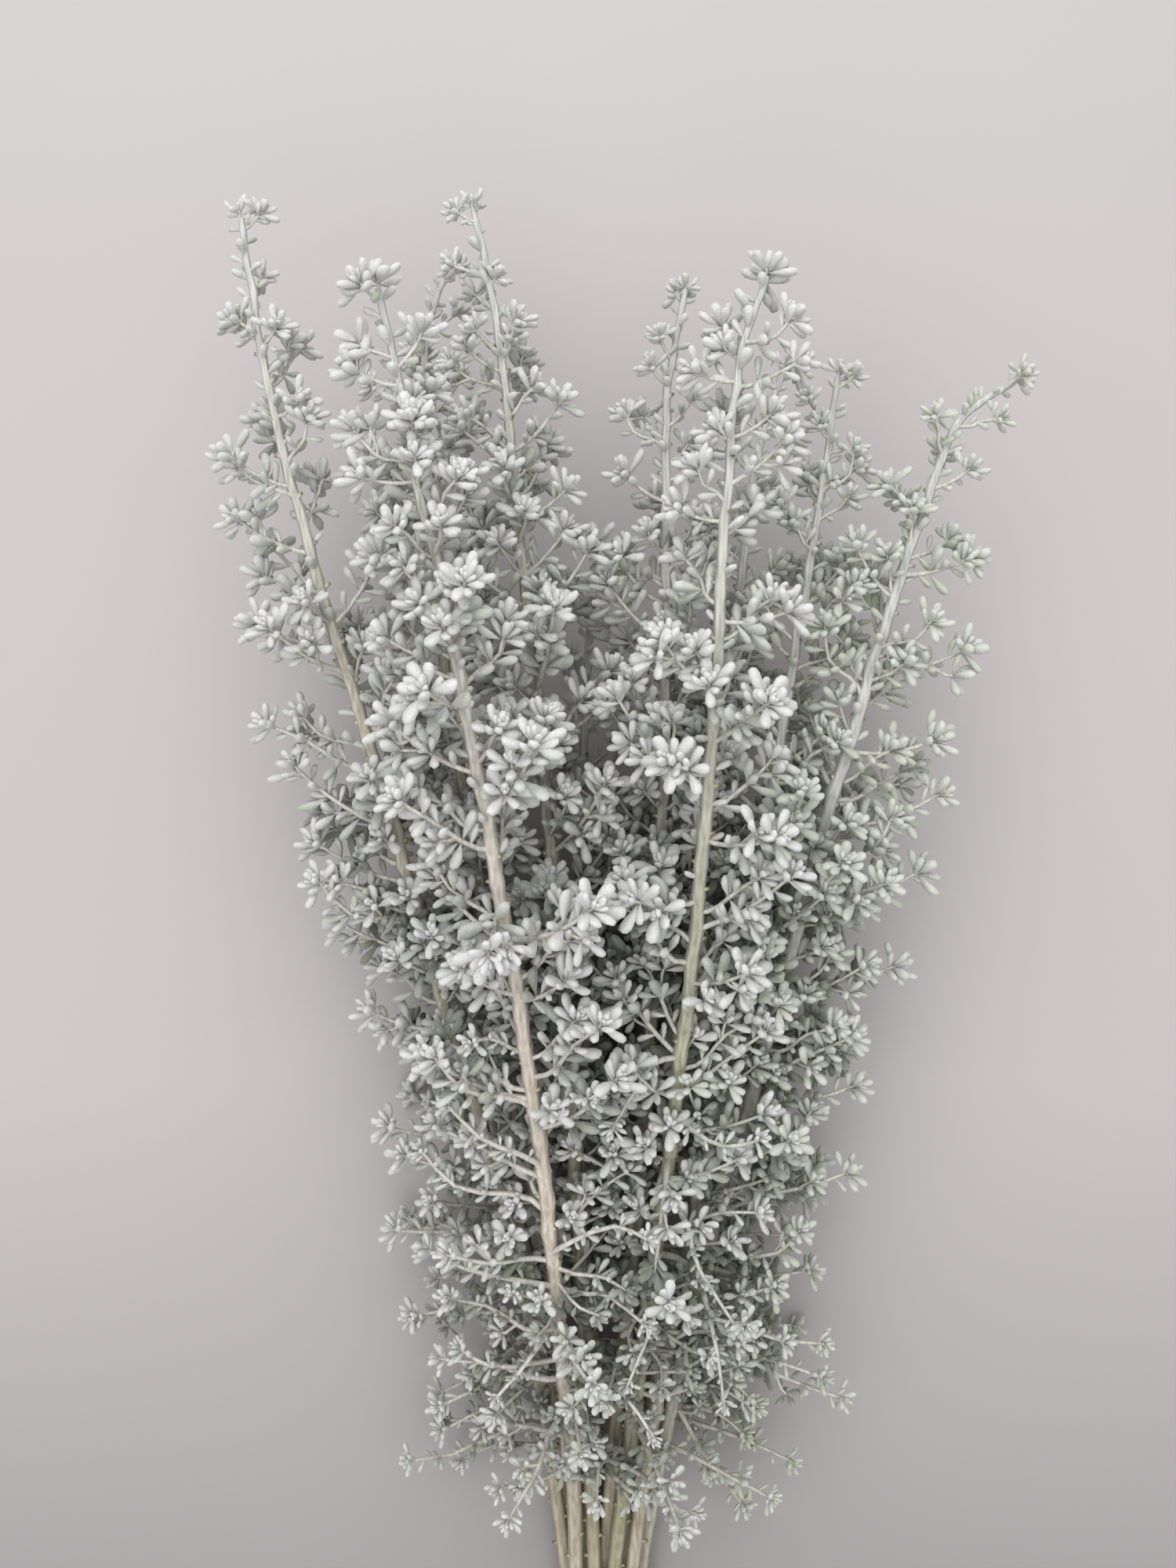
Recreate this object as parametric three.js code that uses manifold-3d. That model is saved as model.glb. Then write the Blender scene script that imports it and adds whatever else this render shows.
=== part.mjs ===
// A florist's bunch of pearl bluebush, cut and laid down on a flat surface.
//
// Thirteen woody stems lie side by side in an elastic band and fan out towards their tips. Each
// stem carries short side sprays, and each spray carries small club-shaped leaves that crowd into
// a rosette at its end. A stem with its sprays and leaves grew as one piece, so it is one mesh.
//
// Every length is in millimetres. The drawing frame has X across the bunch from the middle of the
// band, Y along the stems from the band towards the tips, and Z up from the surface. The finished
// group is then moved so that the middle of its footprint is the origin.

import * as THREE from "three";
import { mergeVertices } from "three/addons/utils/BufferGeometryUtils.js";
import Module from "manifold-3d";

const wasm = await Module();
wasm.setup();

// Stems
const STEM_BASE_RADIUS = 2.45;
const STEM_TIP_RADIUS = 0.8;
const STEM_PITCH = 5.3;
const CUT_LENGTH = 84;
const CUT_STAGGER = 9;
const CUT_FLARE = 1.12;
const STRAIGHT_AT_BAND = 9;
const STEM_SAMPLES = 120;
const STEM_SIDES = 5;
const STEM_STATIONS = 9;
const STEM_END = 2;
const STEM_POINTS_PER_PIECE = 2;
const CUT_DRAW = 90;

// Elastic band
const BAND_WIDTH = 6;
const BAND_THICKNESS = 1.2;
const BAND_CLEARANCE = 0.35;
const BAND_ARC_STEPS = 3;

// Side sprays
const FIRST_NODE = 5;
const NODE_SPACING = 7.5;
const NODE_SPACING_GROWTH = 0.008;
const NODE_TURN = 2.39996;
const NODE_TURN_JITTER = 0.7;
const NODES_PER_DRAWN_SPRAY = 5;
const BARE_BELOW = 47;
const SHORTEST_SPRAY = 5.5;
const LONGEST_SPRAY = 29;
const LOW_SPRAY_GAIN = 0.3;
const SPRAY_GROWTH = 0.2;
const SPRAY_LENGTH_JITTER = 0.36;
const SPREAD_AT_ROOT = 1.1;
const SPREAD_AT_TIP = 0.66;
const DROOP_AT_ROOT = 1.4;
const DROOP_AT_TIP = 1.75;
const DROOP_FROM = 150;
const DROOP_FULL = 60;
const SPRAY_BEND_SHARE = 0.45;
const SPRAY_START_BEND = -0.35;
const SPRAY_FLOOR = 3.2;
const ROSETTE_REACH = 3.5;
const TWIG_TIP_RADIUS = 0.42;
const TWIG_GROWTH = 0.014;
const TWIG_FACET_GAIN = 1.2;
const TWIG_PIECES = 6;
const NEAR_NODE = 12;
const CROWN_LENGTH = 11;
const CROWN_ITEM = 99;
const LED_ITEM = 100;

// Leaves sit on short thick nodes of a twig, as a rosette on its end node and in threes below it
const NODE_LENGTH = 1.3;
const NODE_RADIUS = 0.9;
const INLINE_NODE_RADIUS = 0.75;
const NODE_GAP = 10;
const BARE_SHARE = 0.25;
const LONG_LEAF = 7.6;
const OUTER_LEAF = 0.95;
const INNER_LEAF = 0.82;
const CENTRE_LEAF = 0.66;
const STEM_TIP_VIGOUR = 0.8;
const VIGOUR_FROM = 90;
const LEAF_LENGTH_JITTER = 0.24;
const INLINE_SPREAD = 1.15;
const LOWER_SPREAD = 1.35;
const UPPER_SPREAD = 0.78;
const CENTRE_SPREAD = 0.15;
const SPREAD_JITTER = 0.3;
const DRAWS_PER_NODE = 10;
const SPREAD_DRAW = 50;
const MOST_LEVELLING = 0.6;
const LEAF_RADIUS_SHARE = 0.17;
const LEAF_FLOOR = 0.4;

// Clear air between one stem's growth and the next
const SPRAY_SAMPLES = 16;
const SPRAY_AIR = 1.0;
const LEAF_AIR = 0.35;

// How near two corners are when they count as one, and how far a join may move a surface
const SAME_CORNER = 1e-3;
const JOIN_TOLERANCE = 0.02;
const TOO_SHORT = 1e-3;

// Each stem: its place in the band (row from the surface up, column from the left), how slowly it
// thickens below its tip, the points it passes through, and the sprays that show in front or make
// the outline. A spray is the height where it leaves the stem, then the point that it ends at, and
// a last number where it starts off bent another way than most.
const ROW_COLUMNS = [4, 5, 4];
const STEMS = [
  { name: "stem_far_left", row: 1, column: 0, thickening: 150,
    route: [[-24, 107, 25], [-39, 164, 40], [-54, 224, 55], [-73, 294, 69], [-83, 335, 73], [-90, 378, 75]],
    sprays: [[349, -94, 353, 76], [345, -78, 351, 80], [328, -72, 332, 80], [311, -95, 319, 78],
      [295, -95, 305, 70], [272, -91, 279, 68], [226, -82, 244, 62], [212, -78, 224, 56],
      [194, -73, 202, 48], [172, -66, 178, 44], [142, -62, 146, 40], [118, -61, 116, 35],
      [100, -57, 90, 30], [84, -49, 66, 26]] },
  { name: "stem_nodding", row: 1, column: 1, thickening: 230,
    route: [[-12, 80, 17], [-30, 180, 30], [-43, 270, 38], [-48, 345, 41], [-45, 368, 42], [-39, 376, 43]],
    sprays: [[338, -57, 342, 44], [326, -38, 334, 46]] },
  { name: "stem_front_left", row: 2, column: 0, thickening: 120,
    route: [[-9, 51, 26], [-13, 101, 43], [-19, 165, 66], [-29, 231, 85], [-41, 295, 98], [-52, 351, 104]],
    sprays: [[328, -61, 333, 102], [307, -60, 308, 100], [288, -57, 291, 98], [256, -42, 259, 112],
      [240, -54, 254, 92], [230, -15, 249, 107], [200, -1, 210, 100],
      [208, -28, 196, 99, 0.3], [184, -7, 192, 82], [158, -48, 172, 73], [150, 5, 168, 80]] },
  { name: "stem_left", row: 2, column: 1, thickening: 150,
    route: [[-5, 70, 22], [-9, 150, 37], [-15, 230, 50], [-22, 301, 59], [-27, 350, 62], [-34, 385, 62]],
    sprays: [[350, -20, 357, 66], [342, -38, 349, 66], [322, -9, 337, 64], [305, -7, 314, 64],
      [280, -2, 300, 62]] },
  { name: "stem_right", row: 1, column: 2, thickening: 150,
    route: [[4, 60, 17], [9, 120, 29], [14, 200, 41], [16, 270, 50], [16, 335, 53], [21, 367, 53]],
    sprays: [[341, 9, 348, 56], [330, 25, 340, 56], [311, 2, 320, 55],
      [275, -2, 292, 58]] },
  { name: "stem_front_right", row: 2, column: 2, thickening: 140,
    route: [[10, 80, 31], [17, 145, 52], [22, 201, 72], [25, 244, 83], [27, 290, 91], [30, 331, 94],
      [37, 357, 95]],
    sprays: [[331, 17, 334, 95], [318, 41, 325, 96], [299, 13, 303, 92], [276, 47, 279, 90],
      [252, 39, 257, 103], [240, 12, 243, 97], [224, 43, 225, 92], [209, 4, 210, 90],
      [188, 37, 193, 82], [148, 44, 154, 60], [140, 12, 110, 62, 0.9]] },
  { name: "stem_back_right", row: 1, column: 3, thickening: 150,
    route: [[9, 60, 14], [17, 130, 23], [28, 210, 33], [35, 280, 39], [41, 325, 42], [48, 350, 43]],
    sprays: [[332, 34, 337, 42]] },
  { name: "stem_upper_right", row: 2, column: 3, thickening: 150,
    route: [[14, 60, 22], [26, 130, 36], [38, 200, 47], [47, 260, 54], [54, 302, 57], [60, 344, 58]],
    sprays: [[326, 52, 332, 60], [315, 68, 320, 60], [300, 42, 312, 60]] },
  { name: "stem_far_right", row: 1, column: 4, thickening: 100,
    route: [[19, 60, 17], [30, 112, 28], [47, 184, 45], [60, 241, 60], [71, 280, 66], [80, 308, 69],
      [88, 328, 70], [103, 338, 70]],
    sprays: [[311, 93, 317, 73], [306, 67, 314, 71], [290, 94, 295, 72], [284, 60, 300, 71],
      [266, 93, 272, 70], [250, 58, 262, 64], [246, 86, 249, 67], [226, 88, 236, 62],
      [206, 85, 216, 54], [186, 80, 190, 48], [152, 70, 158, 44], [126, 69, 134, 40],
      [104, 60, 105, 34], [88, 69, 66, 28], [64, 42, 29, 16]] },
  { name: "stem_under_left", row: 0, column: 0, thickening: 150,
    route: [[-16, 80, 11], [-37, 160, 18], [-52, 220, 24], [-62, 262, 28]],
    sprays: [] },
  { name: "stem_under_mid", row: 0, column: 1, thickening: 150,
    route: [[-3, 80, 10], [-5, 150, 17], [-6, 230, 25], [-4, 288, 31]],
    sprays: [] },
  { name: "stem_under_right", row: 0, column: 2, thickening: 150,
    route: [[6, 80, 10], [14, 160, 16], [21, 230, 22], [27, 276, 27]],
    sprays: [] },
  { name: "stem_under_far_right", row: 0, column: 3, thickening: 150,
    route: [[17, 80, 11], [38, 160, 18], [53, 215, 24], [62, 252, 28]],
    sprays: [] },
];

const FELT_COLOUR = 0xc6cac4;
const BAND_COLOUR = 0xd8c9a6;

// A repeatable random number from 0 to 1 for draw c of item b on stem a.
function chance(a, b, c) {
  let h = Math.imul(a + 1, 374761393) ^ Math.imul(b + 1, 668265263) ^ Math.imul(c + 1, 1274126177);
  h = Math.imul(h ^ (h >>> 13), 1274126177);
  h = Math.imul(h ^ (h >>> 15), 668265263);
  return ((h ^ (h >>> 16)) >>> 0) / 4294967296;
}

// Where a stem passes through the band: columns side by side, rows nested in each other.
function bandPlace(row, column) {
  const x = (column - (ROW_COLUMNS[row] - 1) / 2) * STEM_PITCH;
  const rowRise = STEM_PITCH * Math.sin(Math.PI / 3);
  const z = BAND_THICKNESS + BAND_CLEARANCE + STEM_BASE_RADIUS + row * rowRise;
  return [x, z];
}

// A stem's centre line as evenly drawn points, with the distance of each from the tip.
function stemLine(stem, index) {
  const [x, z] = bandPlace(stem.row, stem.column);
  const cutY = -CUT_LENGTH - CUT_STAGGER * (chance(index, 0, CUT_DRAW) - 0.5);
  const cutZ = z - BAND_THICKNESS - BAND_CLEARANCE;
  const through = [[x * CUT_FLARE, cutY, cutZ], [x, -STRAIGHT_AT_BAND, z], [x, STRAIGHT_AT_BAND, z],
    ...stem.route];
  const curve = new THREE.CatmullRomCurve3(
    through.map((p) => new THREE.Vector3(...p)), false, "catmullrom", 0.5);
  const points = [];
  for (let i = 0; i <= STEM_SAMPLES; i++) points.push(curve.getPoint(i / STEM_SAMPLES));
  const fromTip = new Array(points.length).fill(0);
  for (let i = points.length - 2; i >= 0; i--) {
    fromTip[i] = fromTip[i + 1] + points[i].distanceTo(points[i + 1]);
  }
  return { points, fromTip, length: fromTip[0], thickening: stem.thickening };
}

function stemRadius(line, fromTip) {
  const grown = 1 - Math.exp(-fromTip / line.thickening);
  const full = 1 - Math.exp(-line.length / line.thickening);
  return STEM_TIP_RADIUS + (STEM_BASE_RADIUS - STEM_TIP_RADIUS) * (grown / full);
}

// The point and direction of a stem at a distance from its tip.
function stemAt(line, fromTip) {
  let i = line.points.length - 2;
  while (i > 0 && line.fromTip[i] < fromTip) i--;
  const span = line.fromTip[i] - line.fromTip[i + 1];
  const share = (fromTip - line.fromTip[i + 1]) / span;
  return {
    point: line.points[i + 1].clone().lerp(line.points[i], share),
    along: line.points[i + 1].clone().sub(line.points[i]).normalize(),
  };
}

// The distance from the tip at which a stem passes a height along the bunch.
function fromTipAtHeight(line, y) {
  let i = line.points.length - 2;
  while (i > 0 && line.points[i].y > y) i--;
  const share = (y - line.points[i].y) / (line.points[i + 1].y - line.points[i].y);
  return line.fromTip[i] + (line.fromTip[i + 1] - line.fromTip[i]) * share;
}

function smoothStep(low, high, value) {
  const t = Math.min(1, Math.max(0, (value - low) / (high - low)));
  return t * t * (3 - 2 * t);
}

function offTheSurface(point, height) {
  point.z = Math.max(point.z, height);
  return point;
}

function makeSpray(stem, item, fromTip, root, bend, end) {
  const line = new THREE.QuadraticBezierCurve3(
    root, offTheSurface(bend, SPRAY_FLOOR), offTheSurface(end, SPRAY_FLOOR));
  const length = root.distanceTo(line.v1) + line.v1.distanceTo(line.v2);
  const rootRadius = TWIG_TIP_RADIUS + TWIG_GROWTH * length;
  return { stem, item, fromTip, line, length, rootRadius };
}

// A spray that is led to a chosen outermost point, which its leaves reach.
function ledSpray(stem, item, line, [height, x, y, z, startBend = SPRAY_START_BEND], reach) {
  const fromTip = fromTipAtHeight(line, height);
  const { point: root, along } = stemAt(line, fromTip);
  const chord = new THREE.Vector3(x, y, z).sub(root);
  const length = (chord.length() - ROSETTE_REACH) * reach;
  chord.normalize();
  const end = root.clone().addScaledVector(chord, length);
  const start = chord.addScaledVector(along, startBend).normalize();
  const bend = root.clone().addScaledVector(start, length * SPRAY_BEND_SHARE);
  return makeSpray(stem, item, fromTip, root, bend, end);
}

// A spray that follows the stem's own rule of growth.
function grownSpray(stem, item, line, fromTip, turn, reach) {
  const { point: root, along } = stemAt(line, fromTip);
  const across = along.clone().cross(new THREE.Vector3(0, 0, 1)).normalize();
  const upward = across.clone().cross(along);
  const outward = across.multiplyScalar(Math.cos(turn)).addScaledVector(upward, Math.sin(turn));
  const full = Math.min(LONGEST_SPRAY, SHORTEST_SPRAY + SPRAY_GROWTH * fromTip);
  const jitter = 1 + SPRAY_LENGTH_JITTER * (chance(stem, item, 1) - 0.5);
  const droop = 1 - smoothStep(DROOP_FULL, DROOP_FROM, root.y);
  const length = full * (1 + LOW_SPRAY_GAIN * droop) * jitter * reach;
  const atRoot = SPREAD_AT_ROOT + (DROOP_AT_ROOT - SPREAD_AT_ROOT) * droop;
  const atTip = SPREAD_AT_TIP + (DROOP_AT_TIP - SPREAD_AT_TIP) * droop;
  const heading = (spread) =>
    along.clone().multiplyScalar(Math.cos(spread)).addScaledVector(outward, Math.sin(spread));
  const bend = root.clone().addScaledVector(heading(atRoot), length * SPRAY_BEND_SHARE);
  const end = bend.clone().addScaledVector(heading(atTip), length * (1 - SPRAY_BEND_SHARE));
  return makeSpray(stem, item, fromTip, root, bend, end);
}

// The tip of a stem carries leaves as a spray does.
function crown(stem, line) {
  const [root, bend, end] = [CROWN_LENGTH, CROWN_LENGTH / 2, 0].map((far) => stemAt(line, far).point);
  return makeSpray(stem, CROWN_ITEM, 0, root, bend, end);
}

function spraySamples(spray) {
  const samples = [];
  for (let i = 1; i <= SPRAY_SAMPLES; i++) {
    const share = i / SPRAY_SAMPLES;
    const radius = spray.rootRadius + (TWIG_TIP_RADIUS - spray.rootRadius) * share;
    samples.push({ stem: spray.stem, point: spray.line.getPoint(share), radius });
  }
  return samples;
}

function isClear(samples, taken) {
  return samples.every((s) => taken.every((t) =>
    t.stem === s.stem || t.point.distanceTo(s.point) > t.radius + s.radius + SPRAY_AIR));
}

// Takes the first way of growing a spray that keeps clear of every other stem's growth.
function takeClear(ways, taken, sprays) {
  for (const way of ways) {
    const spray = way();
    const samples = spraySamples(spray);
    if (isClear(samples, taken)) {
      taken.push(...samples);
      sprays.push(spray);
      return;
    }
  }
}

const REACHES = [1, 0.85, 0.7];
const TURNS = [0, 0.5, -0.5, 1.0, -1.0];

function growSprays(lines) {
  const taken = [];
  lines.forEach((line, stem) => line.points.forEach((point, i) =>
    taken.push({ stem, point, radius: stemRadius(line, line.fromTip[i]) })));
  const sprays = [];
  lines.forEach((line, stem) => STEMS[stem].sprays.forEach((entry, n) =>
    takeClear(REACHES.map((reach) => () => ledSpray(stem, LED_ITEM + n, line, entry, reach)),
      taken, sprays)));
  const led = sprays.map((s) => ({ stem: s.stem, root: s.line.v0 }));
  lines.forEach((line, stem) => sprays.push(crown(stem, line)));
  lines.forEach((line, stem) => {
    const bareFrom = fromTipAtHeight(line, BARE_BELOW);
    let fromTip = FIRST_NODE;
    for (let node = 0; fromTip < bareFrom; node++) {
      const root = stemAt(line, fromTip).point;
      const isLed = led.some((s) => s.stem === stem && s.root.distanceTo(root) < NEAR_NODE);
      if (node % NODES_PER_DRAWN_SPRAY === 0 && !isLed) {
        const turn = stem + node * NODE_TURN + NODE_TURN_JITTER * (chance(stem, node, 0) - 0.5);
        const place = fromTip;
        takeClear(REACHES.flatMap((reach) => TURNS.map((more) => () =>
          grownSpray(stem, node, line, place, turn + more, reach))), taken, sprays);
      }
      fromTip += NODE_SPACING + NODE_SPACING_GROWTH * fromTip;
    }
  });
  return sprays;
}

// The least distance between two line pieces.
function pieceDistance(p1, q1, p2, q2) {
  const d1 = q1.clone().sub(p1);
  const d2 = q2.clone().sub(p2);
  const r = p1.clone().sub(p2);
  const a = d1.dot(d1);
  const e = d2.dot(d2);
  const f = d2.dot(r);
  const c = d1.dot(r);
  const b = d1.dot(d2);
  const denom = a * e - b * b;
  const clamp = (v) => Math.min(1, Math.max(0, v));
  let s = denom > 1e-9 ? clamp((b * f - c * e) / denom) : 0;
  let t = (b * s + f) / e;
  if (t < 0) {
    t = 0;
    s = clamp(-c / a);
  } else if (t > 1) {
    t = 1;
    s = clamp((b - c) / a);
  }
  return p1.clone().addScaledVector(d1, s).distanceTo(p2.clone().addScaledVector(d2, t));
}

// The outside of every stem and twig as line pieces with a radius, to keep leaves clear of.
function woodPieces(lines, sprays) {
  const pieces = [];
  const add = (stem, from, to, radius) => pieces.push({ stem, from, to, radius });
  lines.forEach((line, stem) => {
    for (let i = 0; i < STEM_SAMPLES; i += STEM_POINTS_PER_PIECE) {
      add(stem, line.points[i], line.points[i + STEM_POINTS_PER_PIECE],
        stemRadius(line, line.fromTip[i]));
    }
  });
  sprays.forEach((spray) => {
    for (let i = 0; i < TWIG_PIECES; i++) {
      add(spray.stem, spray.line.getPoint(i / TWIG_PIECES),
        spray.line.getPoint((i + 1) / TWIG_PIECES), spray.rootRadius * TWIG_FACET_GAIN);
    }
  });
  return pieces;
}

function isLeafClear(stem, from, to, radius, pieces) {
  return pieces.every((p) => {
    if (p.stem === stem) return true;
    const reach = p.radius + radius + LEAF_AIR;
    const apart = p.from.distanceTo(from) - from.distanceTo(to) - p.from.distanceTo(p.to);
    if (apart > reach) return true;
    return pieceDistance(from, to, p.from, p.to) > reach;
  });
}

// A lathe form bent along a line. The profile's points are [radius, share of the line's length],
// and lineAt gives the point, and the two directions across the line, at such a share.
function bentForm(profile, sides, lineAt) {
  const lathe = new THREE.LatheGeometry(profile.map(([r, s]) => new THREE.Vector2(r, s)), sides);
  lathe.deleteAttribute("normal");
  lathe.deleteAttribute("uv");
  const form = mergeVertices(lathe, SAME_CORNER);
  const position = form.getAttribute("position");
  for (let i = 0; i < position.count; i++) {
    const { point, side, other } = lineAt(position.getY(i));
    point.addScaledVector(side, position.getX(i)).addScaledVector(other, position.getZ(i));
    position.setXYZ(i, point.x, point.y, Math.max(0, point.z));
  }
  return solidOf(form);
}

// A closed mesh as a solid whose faces point out, without those shrunk to a line at a pole.
function solidOf(form) {
  const corners = form.getAttribute("position").array;
  const index = form.index.array;
  const kept = [];
  for (let i = 0; i < index.length; i += 3) {
    const [a, b, c] = [index[i], index[i + 1], index[i + 2]];
    if (a !== b && b !== c && c !== a) kept.push([a, b, c]);
  }
  const solid = solidFrom(corners, kept.flat());
  if (solid.volume() > 0) return solid;
  return solidFrom(corners, kept.map(([a, b, c]) => [a, c, b]).flat());
}

function solidFrom(corners, faces) {
  return new wasm.Manifold(new wasm.Mesh({
    numProp: 3,
    vertProperties: new Float32Array(corners),
    triVerts: new Uint32Array(faces),
  }));
}

function stemSolid(line) {
  const aboveBand = fromTipAtHeight(line, STRAIGHT_AT_BAND);
  const stations = [line.length, fromTipAtHeight(line, -STRAIGHT_AT_BAND)];
  for (let i = 0; i < STEM_STATIONS; i++) stations.push(aboveBand * (1 - i / STEM_STATIONS));
  stations.push(STEM_END);
  const profile = [[0, 0]];
  stations.forEach((fromTip) => profile.push([stemRadius(line, fromTip), 1 - fromTip / line.length]));
  profile.push([0, 1 - (STEM_END - STEM_TIP_RADIUS / 2) / line.length]);
  return bentForm(profile, STEM_SIDES, (share) => {
    const { point, along } = stemAt(line, line.length * (1 - share));
    const side = along.clone().cross(new THREE.Vector3(0, 0, 1)).normalize();
    return { point, side, other: side.clone().cross(along) };
  });
}

// A closed form grown face by face: faces are taken off it and drawn out into sleeves and points.
class GrownForm {
  corners = [];
  faces = [];

  corner(point) {
    this.corners.push(point.x, point.y, Math.max(0, point.z));
    return { at: this.corners.length / 3 - 1, point };
  }

  face(a, b, c) {
    const made = [a, b, c];
    this.faces.push(made);
    return made;
  }

  take(face) {
    this.faces.splice(this.faces.indexOf(face), 1);
    return face;
  }

  // A sleeve to a ring of three points, each straight ahead of a corner. Gives the end face.
  drawOut(face, ring) {
    const from = this.take(face);
    const to = ring.map((point) => this.corner(point));
    for (const [k, n] of [[0, 1], [1, 2], [2, 0]]) {
      this.face(from[k], from[n], to[n]);
      this.face(from[k], to[n], to[k]);
    }
    return this.face(...to);
  }

  // A sleeve to a ring whose points lie ahead of the gaps between the corners. Gives the faces
  // with an edge on the old ring, those with an edge on the new one, and the end face.
  drawOutTurned(face, ring) {
    const from = this.take(face);
    const to = ring.map((point) => this.corner(point));
    const turns = [[0, 1], [1, 2], [2, 0]];
    const lower = turns.map(([k, n]) => this.face(from[k], from[n], to[k]));
    const upper = turns.map(([k, n]) => this.face(from[n], to[n], to[k]));
    return { lower, upper, end: this.face(...to) };
  }

  solid() {
    return solidFrom(this.corners, this.faces.flat().map((corner) => corner.at));
  }
}

// Draws a leaf out of a face: narrow at its root and widest at its blunt end. A leaf that would
// touch another stem's growth, or that the surface would turn far aside, is left out.
function drawLeaf(form, face, heading, length, stem, pieces) {
  const root = face[0].point.clone().add(face[1].point).add(face[2].point).divideScalar(3);
  const rested = levelled(root, heading, length);
  if (rested.angleTo(heading) > MOST_LEVELLING) return;
  const radius = length * LEAF_RADIUS_SHARE;
  const tip = root.clone().addScaledVector(rested, length);
  if (!isLeafClear(stem, root, tip, radius, pieces)) return;
  pieces.push({ stem, from: root, to: tip, radius });
  const ring = face.map((corner) => {
    const outward = corner.point.clone().sub(root);
    outward.addScaledVector(rested, -outward.dot(rested)).setLength(radius);
    return tip.clone().add(outward);
  });
  form.drawOut(face, ring);
}

// Turns a heading up just enough for a leaf's end to rest on the surface.
function levelled(root, heading, length) {
  const lowest = (LEAF_FLOOR - root.z) / length;
  if (heading.z >= lowest) return heading;
  const flat = Math.hypot(heading.x, heading.y);
  const level = Math.sqrt(1 - lowest * lowest) / flat;
  return new THREE.Vector3(heading.x * level, heading.y * level, lowest);
}

// Where a spray's leafy nodes end, from its tip down to its bare foot.
function nodeEnds(spray) {
  const bare = spray.item === CROWN_ITEM ? 0 : BARE_SHARE * spray.length;
  const ends = [];
  for (let end = spray.length; end > bare + NODE_LENGTH; end -= NODE_GAP) ends.unshift(end);
  return ends;
}

// A spray with its leaves, grown from its foot inside the stem to its rosette.
function spraySolid(spray, pieces) {
  const { line, length, stem, item } = spray;
  const side = line.v1.clone().sub(line.v0).cross(line.v2.clone().sub(line.v1));
  if (side.length() < TOO_SHORT) side.set(0, 0, 1).cross(line.v2.clone().sub(line.v0));
  side.normalize();
  const vigour = STEM_TIP_VIGOUR + (1 - STEM_TIP_VIGOUR) * Math.min(1, spray.fromTip / VIGOUR_FROM);
  const base = 2 * Math.PI * chance(stem, item, 2);
  let turns = 0;
  const frameAt = (place) => {
    const along = line.getTangent(place / length);
    return { along, other: along.clone().cross(side), point: line.getPoint(place / length) };
  };
  const between = (from, to, turn) =>
    from.clone().multiplyScalar(Math.cos(turn)).addScaledVector(to, Math.sin(turn));
  const aim = ({ along, other }, turn, spread) => between(along, between(side, other, turn), spread);
  const ringAt = (place, radius) => {
    const frame = frameAt(place);
    return [0, 1, 2].map((k) => {
      const outward = aim(frame, base + (turns + 2 * k) * Math.PI / 3, Math.PI / 2);
      return frame.point.clone().addScaledVector(outward, radius);
    });
  };
  const leaf = (face, place, turn, spread, share, draw) => {
    const jitter = 1 + LEAF_LENGTH_JITTER * (chance(stem, item, draw) - 0.5);
    const sway = SPREAD_JITTER * (chance(stem, item, draw + SPREAD_DRAW) - 0.5);
    const heading = aim(frameAt(place), base + turn, spread + sway);
    drawLeaf(form, face, heading, LONG_LEAF * vigour * share * jitter, stem, pieces);
  };

  const form = new GrownForm();
  const foot = ringAt(0, spray.rootRadius * TWIG_FACET_GAIN).map((point) => form.corner(point));
  form.face(foot[0], foot[2], foot[1]);
  let end = form.face(...foot);
  const ends = nodeEnds(spray);
  ends.forEach((place, node) => {
    const isTip = node === ends.length - 1;
    const radius = isTip ? NODE_RADIUS : INLINE_NODE_RADIUS;
    turns += 1;
    end = form.drawOutTurned(end, ringAt(place - NODE_LENGTH, radius)).end;
    turns += 1;
    const grown = form.drawOutTurned(end, ringAt(place, radius));
    end = grown.end;
    const draw = DRAWS_PER_NODE * (node + 1);
    const middle = place - NODE_LENGTH / 2;
    [0, 1, 2].forEach((k) => {
      const lowerTurn = (turns + 2 * k) * Math.PI / 3;
      const upperTurn = lowerTurn + Math.PI / 3;
      if (isTip) {
        leaf(grown.lower[k], middle, lowerTurn, LOWER_SPREAD, OUTER_LEAF, draw + k);
        leaf(grown.upper[k], middle, upperTurn, UPPER_SPREAD, INNER_LEAF, draw + 3 + k);
      } else if (k !== node % 3) {
        leaf(grown.lower[k], middle, lowerTurn, INLINE_SPREAD, 1, draw + k);
      } else {
        leaf(grown.upper[k], middle, upperTurn, INLINE_SPREAD, 1, draw + k);
      }
    });
    if (isTip) leaf(end, place, 0, CENTRE_SPREAD, CENTRE_LEAF, draw + 6);
  });
  return form.solid();
}

// Joins a stem's forms into one solid and drops any scrap or sealed hollow.
function joined(forms) {
  const whole = wasm.Manifold.union(forms).simplify(JOIN_TOLERANCE);
  return whole.decompose().reduce((most, body) => (body.volume() > most.volume() ? body : most));
}

function meshOf(name, solid, colour) {
  const mesh = solid.getMesh();
  const count = mesh.vertProperties.length / mesh.numProp;
  const position = new Float32Array(count * 3);
  for (let i = 0; i < count; i++) {
    for (let k = 0; k < 3; k++) position[i * 3 + k] = mesh.vertProperties[i * mesh.numProp + k];
  }
  const form = new THREE.BufferGeometry();
  form.setAttribute("position", new THREE.BufferAttribute(position, 3));
  form.setIndex(new THREE.BufferAttribute(new Uint32Array(mesh.triVerts), 1));
  form.computeVertexNormals();
  const finish = new THREE.MeshStandardMaterial({ color: colour, roughness: 0.95, metalness: 0 });
  const made = new THREE.Mesh(form, finish);
  made.name = name;
  return made;
}

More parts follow.
